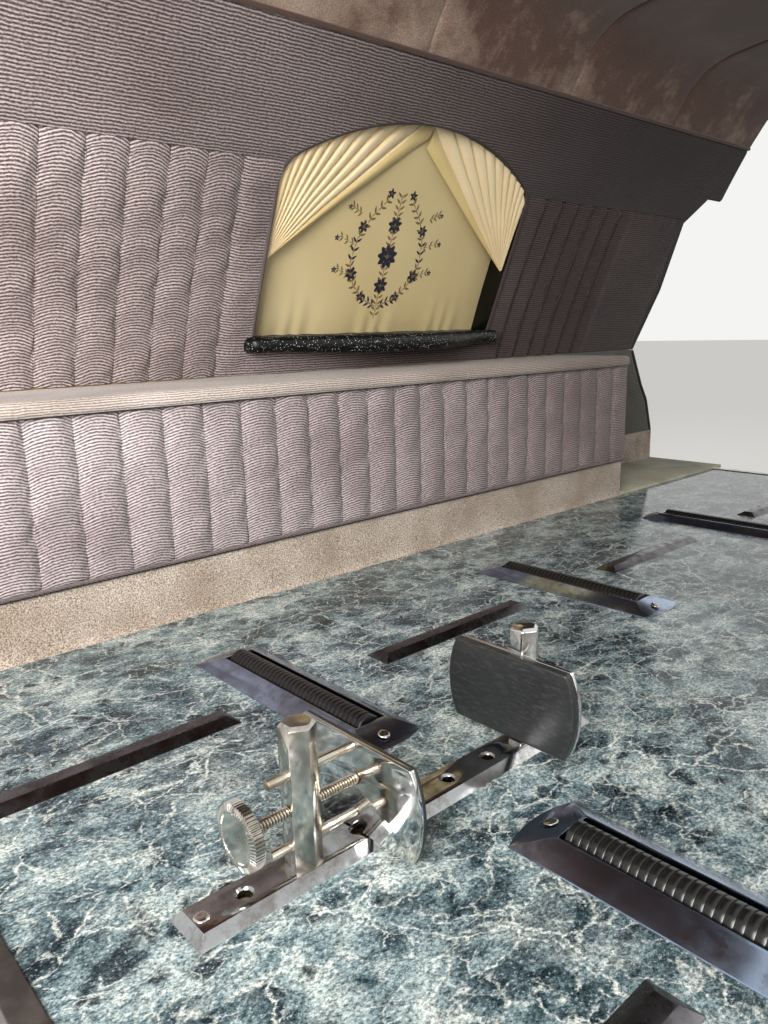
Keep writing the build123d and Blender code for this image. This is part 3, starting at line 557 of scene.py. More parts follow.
def arched(x, lines, rise):
    """How far the cloth's rows are drawn up at x, highest midway between two sewn lines."""
    before = max((line for line in lines if line <= x), default=lines[0])
    after = min((line for line in lines if line > x), default=lines[-1])
    if after <= before:
        return 0.0
    across = (x - before) / (after - before)
    return 4 * rise * across * (1 - across)


def closed_pad(name, columns, rows, front, back, arch=None):
    """A closed padded solid from two surfaces over the same columns and rows.

    Its UV is in metres, and arch draws the rows of cloth up between sewn lines.
    """
    wide, tall = len(columns), len(rows)
    points = [front(u, v) for u in columns for v in rows]
    points += [back(u, v) for u in columns for v in rows]
    flat = [(u, v - (arch(u) if arch else 0.0)) for u in columns for v in rows] * 2
    behind = wide * tall
    faces = []
    for i in range(wide - 1):
        for j in range(tall - 1):
            a, b = i * tall + j, (i + 1) * tall + j
            faces.append((a, b, b + 1, a + 1))
            faces.append((behind + a + 1, behind + b + 1, behind + b, behind + a))
    for i in range(wide - 1):
        low, high = i * tall, i * tall + tall - 1
        faces.append((behind + low, behind + low + tall, low + tall, low))
        faces.append((high, high + tall, behind + high + tall, behind + high))
    for j in range(tall - 1):
        end = (wide - 1) * tall + j
        faces.append((j, j + 1, behind + j + 1, behind + j))
        faces.append((end + 1, end, behind + end, behind + end + 1))
    return built(name, points, faces, flat, outward=True)


def puffed(columns, rows, front, pinned, reach=0.003):
    """Blows a pad's front cloth out between its sewn lines, and gives its new surface.

    A cloth simulation moves the front grid under pressure. Sewn points and edges are pinned,
    and no point moves further than reach.
    """
    grid = [(u, v) for u in columns for v in rows]
    start = [front(u, v) for u, v in grid]
    tall = len(rows)
    faces = [(i * tall + j, (i + 1) * tall + j, (i + 1) * tall + j + 1, i * tall + j + 1)
             for i in range(len(columns) - 1) for j in range(tall - 1)]
    cloth = built("blown_cloth", start, faces)
    ends = (columns[0], columns[-1])
    edges = (rows[0], rows[-1])
    held = cloth.vertex_groups.new(name="sewn")
    held.add([i for i, (u, v) in enumerate(grid) if u in ends or v in edges or pinned(u, v)],
             1.0, "REPLACE")
    only(cloth)
    modifier = cloth.modifiers.new("cloth", "CLOTH")
    settings = modifier.settings
    settings.quality = 4
    settings.mass = 0.3
    settings.vertex_group_mass = "sewn"
    settings.use_pressure = True
    settings.uniform_pressure_force = 4.0
    settings.shrink_min = -0.02
    settings.effector_weights.gravity = 0.0
    modifier.point_cache.frame_start = 1
    modifier.point_cache.frame_end = 20
    for number in range(1, 21):
        bpy.context.scene.frame_set(number)
    blown = cloth.evaluated_get(bpy.context.evaluated_depsgraph_get()).to_mesh()
    shape = {}
    for spot, old, vertex in zip(grid, start, blown.vertices):
        shift = vertex.co - old
        if shift.length > reach:
            shift *= reach / shift.length
        shape[spot] = old + shift
    bpy.data.objects.remove(cloth)
    bpy.context.scene.frame_set(1)
    return lambda u, v: shape[(u, v)]


def lines_back(line, pitch):
    """Sewn lines in order, up to the given one, with none in the section's last 8 mm at the rear."""
    lines = []
    while line > REAR + 0.008:
        lines.insert(0, line)
        line -= pitch
    return lines


def sewn(x, lines):
    """Whether x lies on a sewn line."""
    return any(abs(x - line) < 0.0005 for line in lines)


def refined(node, bevel, material, body="root", smooth=25):
    """Puts a merged copy of a CAD node, with its edges rounded, in the node's place."""
    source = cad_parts[node]
    piece = placed(node + "_finish", source.data.copy())
    piece.matrix_world = source.matrix_world.copy()
    only(piece)
    bpy.ops.object.transform_apply(location=True, rotation=True, scale=True)
    with editing(piece):
        bpy.ops.mesh.remove_doubles(threshold=0.00002)
        bpy.ops.mesh.dissolve_limited(angle_limit=radians(1.0))
    apply(piece, "BEVEL", width=bevel, segments=2, limit_method="ANGLE",
          angle_limit=radians(25.0), use_clamp_overlap=True)
    dress(piece, material, body, smooth, [node])


def tube(name, points, radius, sides):
    """A round welt or rod along the points, as a closed mesh."""
    curve = bpy.data.curves.new(name, "CURVE")
    curve.dimensions = "3D"
    run = curve.splines.new("POLY")
    run.points.add(len(points) - 1)
    for point, place in zip(run.points, points):
        point.co = (*place, 1.0)
    curve.bevel_depth = radius
    curve.bevel_resolution = sides // 4 - 1
    curve.use_fill_caps = True
    only(placed(name, curve))
    bpy.ops.object.convert(target="MESH")
    return bpy.context.view_layer.objects.active


def joined(name, pieces):
    """Several meshes as one piece."""
    only(pieces[0])
    for piece in pieces[1:]:
        piece.select_set(True)
    bpy.ops.object.join()
    pieces[0].name = pieces[0].data.name = name
    return pieces[0]


def spaced(low, high, step):
    """Even steps from low to high, ends included."""
    count = max(1, round((high - low) / step))
    return [low + (high - low) * i / count for i in range(count + 1)]


def eased(share):
    """A share from 0 to 1 that starts and ends gently."""
    return share * share * (3 - 2 * share)


def wall_at(x, rise, behind=0.0):
    """A point on the leaning wall, from the foot up the arc and behind its inner face."""
    angle = FOOT_ANGLE + rise / WALL_RADIUS
    reach = WALL_RADIUS + behind
    return Vector((x, wall_y + reach * cos(angle), wall_z + reach * sin(angle)))


mid_angle = FOOT_ANGLE + niche_mid / WALL_RADIUS
niche_out = Vector((0, cos(mid_angle), sin(mid_angle)))
niche_up = Vector((0, -sin(mid_angle), cos(mid_angle)))


def niche_at(x, rise, behind):
    """A point in the niche, whose sides run square to the wall at its middle."""
    t = rise - niche_mid
    out = sqrt((WALL_RADIUS + behind) ** 2 - t * t) - WALL_RADIUS
    middle = wall_at(NICHE_X + x, niche_mid)
    return middle + niche_up * t + niche_out * out


def niche_outline(grow, steps=10):
    """The niche's outline as (x from its middle, rise), from its low rear corner to its low front one."""
    half, arch = NICHE_HALF + grow, NICHE_ARCH + grow
    top, low, corner = NICHE_TOP + grow, NICHE_SILL - grow, NICHE_CORNER + grow
    centre = top - arch
    turn_x = -half + corner
    turn_y = centre + sqrt((arch - corner) ** 2 - turn_x ** 2)
    start = atan2(turn_y - centre, turn_x)
    run = [(-half, low)]
    for i in range(steps + 1):
        angle = pi + (start - pi) * i / steps
        run.append((turn_x + corner * cos(angle), turn_y + corner * sin(angle)))
    for i in range(1, 2 * steps):
        angle = start + (pi / 2 - start) * i / (2 * steps)
        run.append((arch * cos(angle), centre + arch * sin(angle)))
    return run + [(0.0, top)] + [(-x, rise) for x, rise in reversed(run)]


def prism(name, outline, near, far):
    """A closed prism through the wall over an outline of the niche, for cutting."""
    points = [niche_at(x, rise, 0) + niche_out * near for x, rise in outline]
    points += [niche_at(x, rise, 0) + niche_out * far for x, rise in outline]
    count = len(outline)
    faces = [tuple(range(count)), tuple(range(2 * count - 1, count - 1, -1))]
    faces += [(i, (i + 1) % count, count + (i + 1) % count, count + i) for i in range(count)]
    return built(name, points, faces, outward=True)


def cut(piece, cutter, keep="DIFFERENCE"):
    """Cuts a piece by another, or keeps what lies inside it, and removes the cutter."""
    apply(piece, "BOOLEAN", operation=keep, object=cutter, solver="EXACT")
    bpy.data.objects.remove(cutter)


def pleat_depth(x, lines, sink, roll):
    """How far pleated padding lies below its crown at x, deepest at each sewn line."""
    before = max((line for line in lines if line <= x), default=None)
    after = min((line for line in lines if line > x), default=None)
    if before is None or after is None:
        gap = abs(x - (lines[0] if before is None else lines[-1]))
        return sink * (1 - min(gap / roll, 1.0)) ** 2.2
    across = abs(2 * (x - before) / (after - before) - 1)
    return sink * (1 - (1 - across ** 2.6) ** 0.62)


def pleat_columns(start, end, lines, loose=0.012):
    """Columns of a pleated grid, closer together at each sewn line."""
    marks = {round(value, 5) for value in spaced(start, end, loose)}
    for line in lines:
        for step in (-0.008, -0.0045, -0.002, -0.0008, 0.0, 0.0008, 0.002, 0.0045, 0.008):
            if start < line + step < end:
                marks.add(round(line + step, 5))
    return sorted(marks)


def edge_roll(value, low, high, width, depth):
    """Extra depth where padding turns in towards its upper and lower edges."""
    near = max(0.0, 1 - (value - low) / width)
    far = max(0.0, 1 - (high - value) / width)
    return depth * (near ** 2 + far ** 2)


def ripple(x, y, scale, height):
    """A soft unevenness of hand-stretched cloth."""
    return height * noise.noise(Vector((x * scale, y * scale, 0.37)))


# Camera, light and floor

def studio():
    yaw, pitch, roll = radians(YAW), radians(PITCH), radians(ROLL)
    ahead = Vector((sin(yaw) * cos(pitch), cos(yaw) * cos(pitch),
                    -sin(pitch)))
    level = Vector((cos(yaw), -sin(yaw), 0.0))
    upright = level.cross(ahead)
    right = cos(roll) * level + sin(roll) * upright
    up = -sin(roll) * level + cos(roll) * upright
    lens = bpy.data.cameras.new("photo_view")
    lens.sensor_width = SENSOR
    lens.sensor_fit = "AUTO"
    lens.lens = LENS
    lens.clip_start = 0.02
    camera = placed("photo_view", lens)
    turn = Matrix((right, up, -ahead)).transposed().to_4x4()
    camera.matrix_world = Matrix.Translation(EYE) @ turn
    bpy.context.scene.camera = camera

    for name, place, target, size, power in LAMPS:
        lamp = bpy.data.lights.new(name, "AREA")
        lamp.size = size
        lamp.energy = power
        lamp.spread = LAMP_SPREAD
        lamp.color = LAMP_COLOUR
        light = placed(name, lamp)
        light.location = place
        light.visible_camera = False
        aim = Vector(target) - Vector(place)
        light.rotation_euler = aim.to_track_quat("-Z", "Y").to_euler()

    # A dim grey world lights the object; the eye and the metals see it white
    world = bpy.data.worlds.new("studio")
    bpy.context.scene.world = world
    world.use_nodes = True
    tree = world.node_tree
    output = next(n for n in tree.nodes if n.type == "OUTPUT_WORLD")
    dim = add(tree, "Background", {"Color": linear("#EDEEF0"), "Strength": WORLD_DIM})
    white = add(tree, "Background", {"Color": linear("#F4F4F2"), "Strength": 1.0})
    path = add(tree, "LightPath")
    seen = add(tree, "Math", {0: path.outputs["Is Camera Ray"], 1: path.outputs["Is Glossy Ray"]},
               operation="MAXIMUM")
    seen = add(tree, "Math", {0: seen.outputs[0], 1: path.outputs["Is Transmission Ray"]},
               operation="MAXIMUM")
    both = add(tree, "MixShader", {0: seen.outputs[0], 1: dim.outputs[0], 2: white.outputs[0]})
    tree.links.new(both.outputs[0], output.inputs["Surface"])

    floor = primitive("studio_floor", bpy.ops.mesh.primitive_plane_add, size=40.0,
                      location=(0, 0, -0.0005))
    material, tree, shader = new_material("studio_floor_paint", Roughness=0.9)
    shader.inputs["Base Color"].default_value = linear("#E4E2DD")
    glow = add(tree, "Emission", {"Color": linear("#F1F0EC"), "Strength": 1.0})
    view = add(tree, "LightPath")
    pale = add(tree, "Math", {0: view.outputs["Is Camera Ray"], 1: FLOOR_GLOW},
               operation="MULTIPLY")
    lit = add(tree, "MixShader", {0: pale.outputs[0], 1: shader.outputs[0], 2: glow.outputs[0]})
    output = next(n for n in tree.nodes if n.type == "OUTPUT_MATERIAL")
    tree.links.new(lit.outputs[0], output.inputs["Surface"])
    floor.data.materials.append(material)
    bpy.context.scene.view_settings.view_transform = "Standard"


# Finishes for the CAD nodes that stay

def keep_nodes():
    kept = {
        "timber": ["deck_bearers"],
        "marble_laminate": ["deck_laminate"],
        "plywood": ["deck_board", "side_floor_board", "box_frame", "side_lower_board",
                    "wall_board"],
        "hoop_steel": ["hoop_ribs", "roof_ridge"],
        "tray_black": ["niche_tray"],
    }
    for material, nodes in kept.items():
        for node in nodes:
            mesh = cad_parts[node].data
            mesh.materials.clear()
            mesh.materials.append(MATERIALS[material])


# Box over the wheel

def box_trim():
    lines = lines_back(BOX_FRONT - FACE_FIRST, FACE_PITCH)
    low, high = KICK_TOP, LID_TOP - LID_PAD

    def face_front(x, z):
        depth = pleat_depth(x, lines, 0.0072, 0.014) + edge_roll(z, low, high, 0.012, 0.004)
        depth += ripple(x, z, 22.0, 0.0008)
        return Vector((x, DECK_HALF + min(max(depth, -0.001), DEEPEST), z))

    columns, rows = pleat_columns(REAR, BOX_FRONT, lines, 0.0105), spaced(low, high, 0.0075)
    face = closed_pad("box_face_cloth", columns, rows,
                      puffed(columns, rows, face_front, lambda x, z: sewn(x, lines)),
                      lambda x, z: Vector((x, DECK_HALF + PAD - BACK_GAP, z)),
                      lambda x: arched(x, lines, 0.008))
    upholstered(face, "ribbed_cloth", 0.8, "box_face_pad")

    # Lid cloth: over the top, round the front edge and down to the seam
    lid_front, lid_back = DECK_HALF - 0.005, FOOT_Y
    drop = LID_PAD + 0.007
    bend = 0.0095
    over = lid_back - lid_front
    turn_start = over - bend
    turn_end = turn_start + bend * pi / 2

    def lid_outer(x, v):
        wave = ripple(x, v, 9.0, 0.0012)
        if v < turn_start:
            return Vector((x, lid_back - v, LID_TOP - 0.0012 + wave))
        if v < turn_end:
            turn = (v - turn_start) / bend
            return Vector((x, lid_front + bend - bend * sin(turn),
                           LID_TOP - 0.0012 - bend + bend * cos(turn) + wave * cos(turn)))
        down = v - turn_end
        tuck = max(0.0, down - (drop - bend) + 0.005) * 0.7
        return Vector((x, lid_front + tuck, LID_TOP - 0.0012 - bend - down))

    def lid_inner(x, v):
        y = lid_back - v if v < over - 0.006 else lid_front + 0.006
        z = LID_TOP - LID_PAD + 0.0003
        if v > turn_end:
            z = min(z, lid_outer(x, v).z + 0.0012)
        return Vector((x, max(y, lid_front + 0.0045), z))

    rows = spaced(0.0, turn_start, 0.012)[:-1]
    rows += spaced(turn_start, turn_end + drop - bend, 0.0016)
    lid = closed_pad("lid_cloth", spaced(REAR, BOX_FRONT + 0.003, 0.013), rows, lid_outer,
                     lid_inner)
    upholstered(lid, "lid_cloth", 0.9, "box_lid_pad")

    # Stitched seam under the lid's roll, drawn as a dark tube: partly the seam, partly a painted shadow
    # in its groove
    seam_z = LID_TOP - drop - 0.0022
    run = [(x, DECK_HALF - 0.0028 + ripple(x, 0.4, 40.0, 0.0003), seam_z)
           for x in spaced(REAR, BOX_FRONT, 0.02)]
    dress(tube("lid_seam_shadow", run, 0.0011, 8), "painted_shadow_line", smooth=60)

    # Twisted piping under the pleats and up the box's front corner
    def strand(start, stop, phase, place):
        run = []
        for value in spaced(start, stop, 0.0016):
            twist = 2 * pi * value / 0.014 + phase
            run.append(place(value, 0.0012 * cos(twist), 0.0012 * sin(twist)))
        return tube("piping", run, 0.0019, 8)

    strands = []
    for phase in (0.0, pi):
        strands.append(strand(REAR, BOX_FRONT, phase, lambda x, out, up:
                              (x, DECK_HALF + 0.0004 + out, KICK_TOP + 0.0008 + up)))
        strands.append(strand(KICK_TOP, LID_TOP - LID_PAD - 0.008, phase, lambda z, ahead, out:
                              (BOX_FRONT + 0.0008 + ahead, DECK_HALF + 0.002 + out, z)))
    dress(joined("face_piping", strands), "ribbed_cloth", smooth=60)
    # A dark tube under the piping: painted shadow
    run = [(x, DECK_HALF + 0.0018, KICK_TOP - 0.0031) for x in spaced(REAR, BOX_FRONT, 0.05)]
    dress(tube("piping_shadow", run, 0.0012, 8), "painted_shadow_line", smooth=60)

    def kick_front(x, z):
        foot = max(0.0, 1 - (z - DECK_TOP) / 0.007)
        top = max(0.0, 1 - (KICK_TOP - z) / 0.006)
        y = DECK_HALF + PAD - KICK - 0.0057 * foot ** 1.5 - 0.0020 * top
        return Vector((x, y + ripple(x, z, 55.0, 0.0009) * (1 - foot) - 0.0004, z))

    kick = closed_pad("kick_carpet_strip", spaced(REAR, BOX_FRONT, 0.012),
                      [DECK_TOP + 0.0001, DECK_TOP + 0.0015, DECK_TOP + 0.0035]
                      + spaced(DECK_TOP + 0.006, KICK_TOP, 0.0072), kick_front,
                      lambda x, z: Vector((x, DECK_HALF + PAD - BACK_GAP, z)))
    upholstered(kick, "kick_carpet", 1.0, "kick_strip")

    end = closed_pad("box_end_cloth", spaced(DECK_HALF + PAD, SIDE_Y, 0.012),
                     spaced(0.078, LID_TOP - LID_PAD, 0.012),
                     lambda y, z: Vector((BOX_FRONT + ripple(y, z, 20.0, 0.0008) - 0.0008
                                          - edge_roll(z, 0.078, 0.396, 0.012, 0.002), y, z)),
                     lambda y, z: Vector((BOX_FRONT - KICK + BACK_GAP, y, z)))
    upholstered(end, "ribbed_cloth", 0.9, "box_end_pad")


# Leaning wall

def wall_trim():
    lines = lines_back(NICHE_X - NICHE_HALF - REAR_LAST, REAR_PITCH)
    hole = niche_outline(0.0)

    def rear_front(x, rise):
        depth = pleat_depth(x, lines, 0.0074, 0.014)
        depth += edge_roll(rise, -1.0, SEWN_RISE, 0.012, 0.0035) + ripple(x, rise, 22.0, 0.0008)
        return wall_at(x, rise, min(max(depth, -0.001), DEEPEST))

    def fixed(x, rise):
        near_niche = abs(x - NICHE_X) < NICHE_HALF + 0.008 and rise < NICHE_TOP + 0.008
        return sewn(x, lines) or near_niche or x > FRONT - 0.145

    def backing(x, rise):
        return wall_at(x, rise, PAD - BACK_GAP)

    def opened(piece, *outlines):
        for outline in outlines:
            cut(piece, prism("wall_cutter", outline, -0.1, 0.1))

    columns, rows = pleat_columns(REAR, NICHE_X, lines, 0.0105), spaced(0.0, SEWN_RISE, 0.0085)
    rear = closed_pad("lining_rear_cloth", columns, rows,
                      puffed(columns, rows, rear_front, fixed), backing,
                      lambda x: arched(x, lines, 0.011))
    opened(rear, hole)
    upholstered(rear, "wall_cloth", 0.8, "lining_rear", slot="ribbed_cloth")

    first = NICHE_X + NICHE_HALF + FRONT_FIRST
    lines = [first + FRONT_PITCH * i for i in range(FRONT_LINES)]

    def front_front(x, rise):
        depth = 0.0030
        for line in lines:
            if line <= x < line + FRONT_PITCH:
                depth = 0.0085 * (1 - (x - line) / FRONT_PITCH) ** 1.4
            elif line - FRONT_PITCH <= x < line and line == lines[0]:
                depth = 0.0030 - 0.0030 * (1 - (line - x) / FRONT_PITCH) ** 2
        depth += edge_roll(rise, -1.0, SEWN_RISE, 0.012, 0.0030) + ripple(x, rise, 22.0, 0.0007)
        return wall_at(x, rise, min(max(depth, -0.002), DEEPEST))

    past = FRONT + 0.06 - NICHE_X
    door = [(FRONT - behind - NICHE_X, rise) for behind, rise in DOOR_EDGE]
    door += [(past, DOOR_TOP), (past, -0.06), (FRONT - DOOR_EDGE[0][0] - NICHE_X, -0.06)]
    columns = pleat_columns(NICHE_X, FRONT, lines, 0.0105)
    front = closed_pad("lining_front_cloth", columns, rows,
                       puffed(columns, rows, front_front, fixed, 0.0015), backing)
    opened(front, hole, door)
    upholstered(front, "wall_cloth", 0.8, "lining_front", slot="ribbed_cloth")

    # Dark tubes at the front lining's sewn folds: painted shadow
    fold_shadow_tubes = []
    for line in lines:
        run = [wall_at(line - 0.0009, rise, -0.0003)
               for rise in spaced(0.003, SEWN_RISE - 0.004, 0.03)]
        fold_shadow_tubes.append(tube("tuck", run, 0.0023, 8))
    dress(joined("tuck_shadows", fold_shadow_tubes), "painted_shadow_line", smooth=60)

    def band_front(x, rise):
        depth = edge_roll(rise, SEWN_RISE, JOINT_RISE, 0.014, 0.0035)
        return wall_at(x, rise, depth + ripple(x, rise, 11.0, 0.0010))

    band = closed_pad("lining_band_cloth", spaced(REAR, FRONT, 0.0125),
                      spaced(SEWN_RISE, JOINT_RISE, 0.010), band_front, backing)
    opened(band, hole, door)
    upholstered(band, "band_cloth", 0.9, "lining_band", slot="ribbed_cloth")

    # Rolled cloth edge round the niche, and the black reveal behind it
    rim = [niche_at(x, rise, 0.0032) for x, rise in niche_outline(0.0012, 14)]
    dress(tube("niche_welt", rim, 0.0036, 12), "wall_cloth", smooth=60)
    outline = niche_outline(-0.0004, 14)
    inner = niche_outline(-0.0010, 14)
    rows = [0.004, 0.012, 0.022, 0.036, 0.0525]

    def ring(edge):
        def at(i, behind):
            return niche_at(*edge[i], behind)
        return at

    reveal = closed_pad("niche_reveal", range(len(outline)), rows, ring(inner), ring(outline))
    dress(reveal, "shelf_black", smooth=60)

    # Binding and rubber seal along the wall's front edge
    edge = DOOR_EDGE + ((0.002, DOOR_TOP),)
    seal = [niche_at(FRONT - behind - NICHE_X - 0.002, rise, 0.004) for behind, rise in edge]
    dress(tube("door_edge_binding", seal, 0.005, 12), "door_seal", smooth=60)


# Niche panel, drapes, embroidery and shelf

def panel_depth(x, rise):
    """How far behind the wall's face the stuffed satin panel's front lies."""
    side = min(max(NICHE_HALF - abs(x), 0.0), 0.05) / 0.05
    top = min(max(NICHE_TOP - rise, 0.0), 0.06) / 0.06
    bottom = min(max(rise - NICHE_SILL, 0.0), 0.03) / 0.03
    swell = 0.004 * (side * top * bottom) ** 0.5
    low = max(0.0, 1 - (rise - NICHE_SILL) / 0.10)
    crease = 0.0016 * low ** 1.5 * sin(x * 105.0 + 3.0 * sin(x * 31.0))
    return PANEL_FRONT - swell - crease


def niche_trim():
    fit = niche_outline(-0.0012, 12)
    panel = closed_pad("satin_panel", spaced(-NICHE_HALF - 0.004, NICHE_HALF + 0.004, 0.006),
                       spaced(NICHE_SILL - 0.004, NICHE_TOP + 0.004, 0.006),
                       lambda x, rise: niche_at(x, rise, panel_depth(x, rise)),
                       lambda x, rise: niche_at(x, rise, PANEL_FRONT + 0.0038))
    cut(panel, prism("panel_cutter", fit, -0.05, 0.12), "INTERSECT")
    upholstered(panel, "satin", 0.7, "niche_panel")
    embroidery()
    # The rear drape runs on past the middle, and the front one's hem starts lower beside it
    drape("front", 1, (0.018, HEM_TOP - 0.026))
    drape("rear", -1, (-0.016, HEM_TOP - 0.009))


def stitched(name, shapes, material):
    """Raised satin-stitch ovals on the panel: each is (x, rise, turn, length, width)."""
    points, faces, flat = [], [], []
    around = 10
    for x, rise, turn, length, width in shapes:
        x, rise = x * SPRAY, SPRAY_MIDDLE + (rise - SPRAY_MIDDLE) * SPRAY
        length, width = length * SPRAY, width * SPRAY
        first = len(points)
        for k in range(around):
            angle = 2 * pi * k / around
            along = length / 2 * cos(angle)
            across = width / 2 * sin(angle) * (1 - 0.35 * cos(angle))
            px = x + along * cos(turn) - across * sin(turn)
            pr = rise + along * sin(turn) + across * cos(turn)
            points.append(niche_at(px, pr, panel_depth(px, pr) - 0.0002))
            flat.append((along, across))
        points.append(niche_at(x, rise, panel_depth(x, rise) - 0.0014))
        flat.append((0.0, 0.0))
        points.append(niche_at(x, rise, panel_depth(x, rise) + 0.0006))
        flat.append((0.0, 0.0))
        for k in range(around):
            after = first + (k + 1) % around
            faces.append((first + k, after, first + around))
            faces.append((after, first + k, first + around + 1))
    dress(built(name, points, faces, flat, outward=True), material, smooth=50)


def blossom(x, rise, size, petals, turn=0.3):
    """Petals round a centre, as stitched ovals."""
    shapes = []
    for k in range(petals):
        angle = turn + 2 * pi * k / petals
        shapes.append((x + 0.52 * size * cos(angle), rise + 0.52 * size * sin(angle),
                       angle, size * 0.86, size * 0.50))
    return shapes


def embroidery():
    """A generic spray: two mirrored arching branches round a tall stem of open flowers."""
    dark, bronze = [], []
    for side in (-1, 1):
        ribs = [(0.004, 0.128), (0.030, 0.138), (0.056, 0.160), (0.070, 0.192), (0.066, 0.228),
                (0.048, 0.262), (0.024, 0.288)]
        for (ax, ar), (bx, br) in zip(ribs, ribs[1:]):
            heading = atan2(br - ar, (bx - ax) * side)
            for step in (0.15, 0.5, 0.85):
                px, pr = (ax + (bx - ax) * step) * side, ar + (br - ar) * step
                bronze.append((px, pr, heading, 0.0125, 0.0016))
                for angle in (heading + 0.85, heading - 0.85):
                    dark_leaf = (round(step * 10) + round(ax * 1000)) % 3 == 0
                    (dark if dark_leaf else bronze).append(
                        (px + 0.0062 * cos(angle), pr + 0.0062 * sin(angle), angle,
                         0.0098, 0.0036))
        for bx, br, size, petals in ((0.064, 0.176, 0.0125, 6), (0.060, 0.246, 0.0105, 6),
                                     (0.022, 0.296, 0.0085, 5), (0.036, 0.142, 0.0095, 5)):
            dark += blossom(bx * side, br, size, petals)
            bronze.append((bx * side, br, 0.0, size * 0.5, size * 0.5))
        for reach, lift, size in ((0.098, 0.168, 0.0055), (0.104, 0.214, 0.0050),
                                  (0.092, 0.258, 0.0045)):
            start_x, start_r = 0.068 * side, lift + 0.006
            heading = atan2(lift + 0.012 - start_r, (reach - 0.068) * side)
            for step in (0.2, 0.5, 0.8):
                px = start_x + (reach * side - start_x) * step
                pr = start_r + 0.012 * step
                bronze.append((px, pr, heading, 0.010, 0.0014))
                bronze.append((px, pr + 0.0042, heading + 0.9 * side, 0.0080, 0.0028))
                bronze.append((px, pr - 0.0042, heading - 0.9 * side, 0.0080, 0.0028))
            dark += blossom(reach * side, lift + 0.014, size, 5)
    for rise, size, petals in ((0.160, 0.0150, 7), (0.205, 0.0210, 9), (0.252, 0.0145, 7)):
        dark += blossom(0.0, rise, size, petals)
        dark += blossom(0.0, rise, size * 0.55, petals, 0.7)
        bronze.append((0.0, rise, 0.0, size * 0.45, size * 0.45))
    for rise in spaced(0.112, 0.292, 0.009):
        bronze.append((0.0, rise, pi / 2, 0.0105, 0.0015))
        for side in (-1, 1):
            bronze.append((side * 0.0056, rise + 0.004, pi / 2 - side * 0.9, 0.0100, 0.0034))
    stitched("embroidered_flowers", dark, "dark_thread")
    stitched("embroidered_leaves", bronze, "bronze_thread")


def drape(name, sign, meet):
    """One fan of knife pleats from its tie at the niche's side to the arch and its hem's top."""
    tie = (NICHE_HALF - 0.0025, TIE_RISE)
    start = atan2(meet[1] - tie[1], meet[0] - tie[0])
    edges = [(meet[0], NICHE_SILL)]
    edges += [(max(x, meet[0]), rise) for x, rise in niche_outline(-0.0018, 12)
              if x > meet[0] - 0.012]
    pleats = 10
    band = 0.085

    def reach(angle):
        dx, dy = cos(angle), sin(angle)
        best = 0.0
        for (ax, ay), (bx, by) in zip(edges, edges[1:]):
            ex, ey = bx - ax, by - ay
            cross = dx * ey - dy * ex
            if abs(cross) < 1e-12:
                continue
            far = ((ax - tie[0]) * ey - (ay - tie[1]) * ex) / cross
            along = ((ax - tie[0]) * dy - (ay - tie[1]) * dx) / cross
            if far > 0 and -1e-9 <= along <= 1 + 1e-9:
                best = max(best, far)
        return best

    # Where a pleat's columns stand and how far each is lifted, from one fold to the next
    fold = ((0.0, -0.22), (0.07, 0.30), (0.20, 0.66), (0.40, 0.90), (0.60, 1.0), (0.78, 1.0),
            (0.88, 0.90), (0.935, 0.62), (0.965, 0.20), (0.988, -0.18))
    columns = [(share * band, 0.35 + 0.5 * sin(pi * share)) for share in
               (0.0, 0.12, 0.3, 0.5, 0.7, 0.88, 0.97)]
    for k in range(pleats):
        columns += [(band + (1 - band) * (k + place) / pleats, lift) for place, lift in fold]
    columns.append((1.0, 0.9))

    stop = pi / 2 - 0.004
    rings = 24
    points, flat = [], []
    for share, lift in columns:
        angle = start + (stop - start) * share
        far = reach(angle)
        for j in range(rings + 1):
            out = 0.005 + (far - 0.005) * (j / rings) ** 0.9
            height = 0.0008 + 0.0082 * min(out / 0.22, 1.0) ** 0.9
            wander = ripple(out * 2.0, share * 7.0, 5.0, 0.0012) * min(out / 0.1, 1.0)
            x, rise = tie[0] + out * cos(angle), tie[1] + out * sin(angle)
            behind = 0.0175 - 0.1004 * (x - NICHE_HALF) - 0.0303 * (rise - TIE_RISE)
            behind -= 0.0072 * max(0.0, 1 - out / 0.14)
            behind = min(behind, 0.0415) - lift * height + wander
            points.append(niche_at(sign * x, rise, behind))
            flat.append((share * 0.30, out))
    faces = []
    for i in range(len(columns) - 1):
        for j in range(rings):
            a, b = i * (rings + 1) + j, (i + 1) * (rings + 1) + j
            faces.append((a, b, b + 1, a + 1) if sign > 0 else (a + 1, b + 1, b, a))
    piece = built("drape_" + name + "_satin", points, faces, flat)
    apply(piece, "SOLIDIFY", thickness=0.0008, offset=0.0)
    dress(piece, "drape_satin", smooth=60, replaces=["drape_" + name])
    piece.data.materials.append(MATERIALS["hem_satin"])
    for polygon in piece.data.polygons:
        spot = sum((piece.data.uv_layers[0].data[i].uv[0] for i in polygon.loop_indices))
        if spot / len(polygon.loop_indices) < 0.30 * band * 0.9:
            polygon.material_index = 1


def shelf_swell(x):
    """How far the shelf's front has swelled at x from its middle, from 0 at its ends to 1."""
    return eased(min(max((0.86 - abs(x) / SHELF_HALF) / 0.66, 0.0), 1.0))


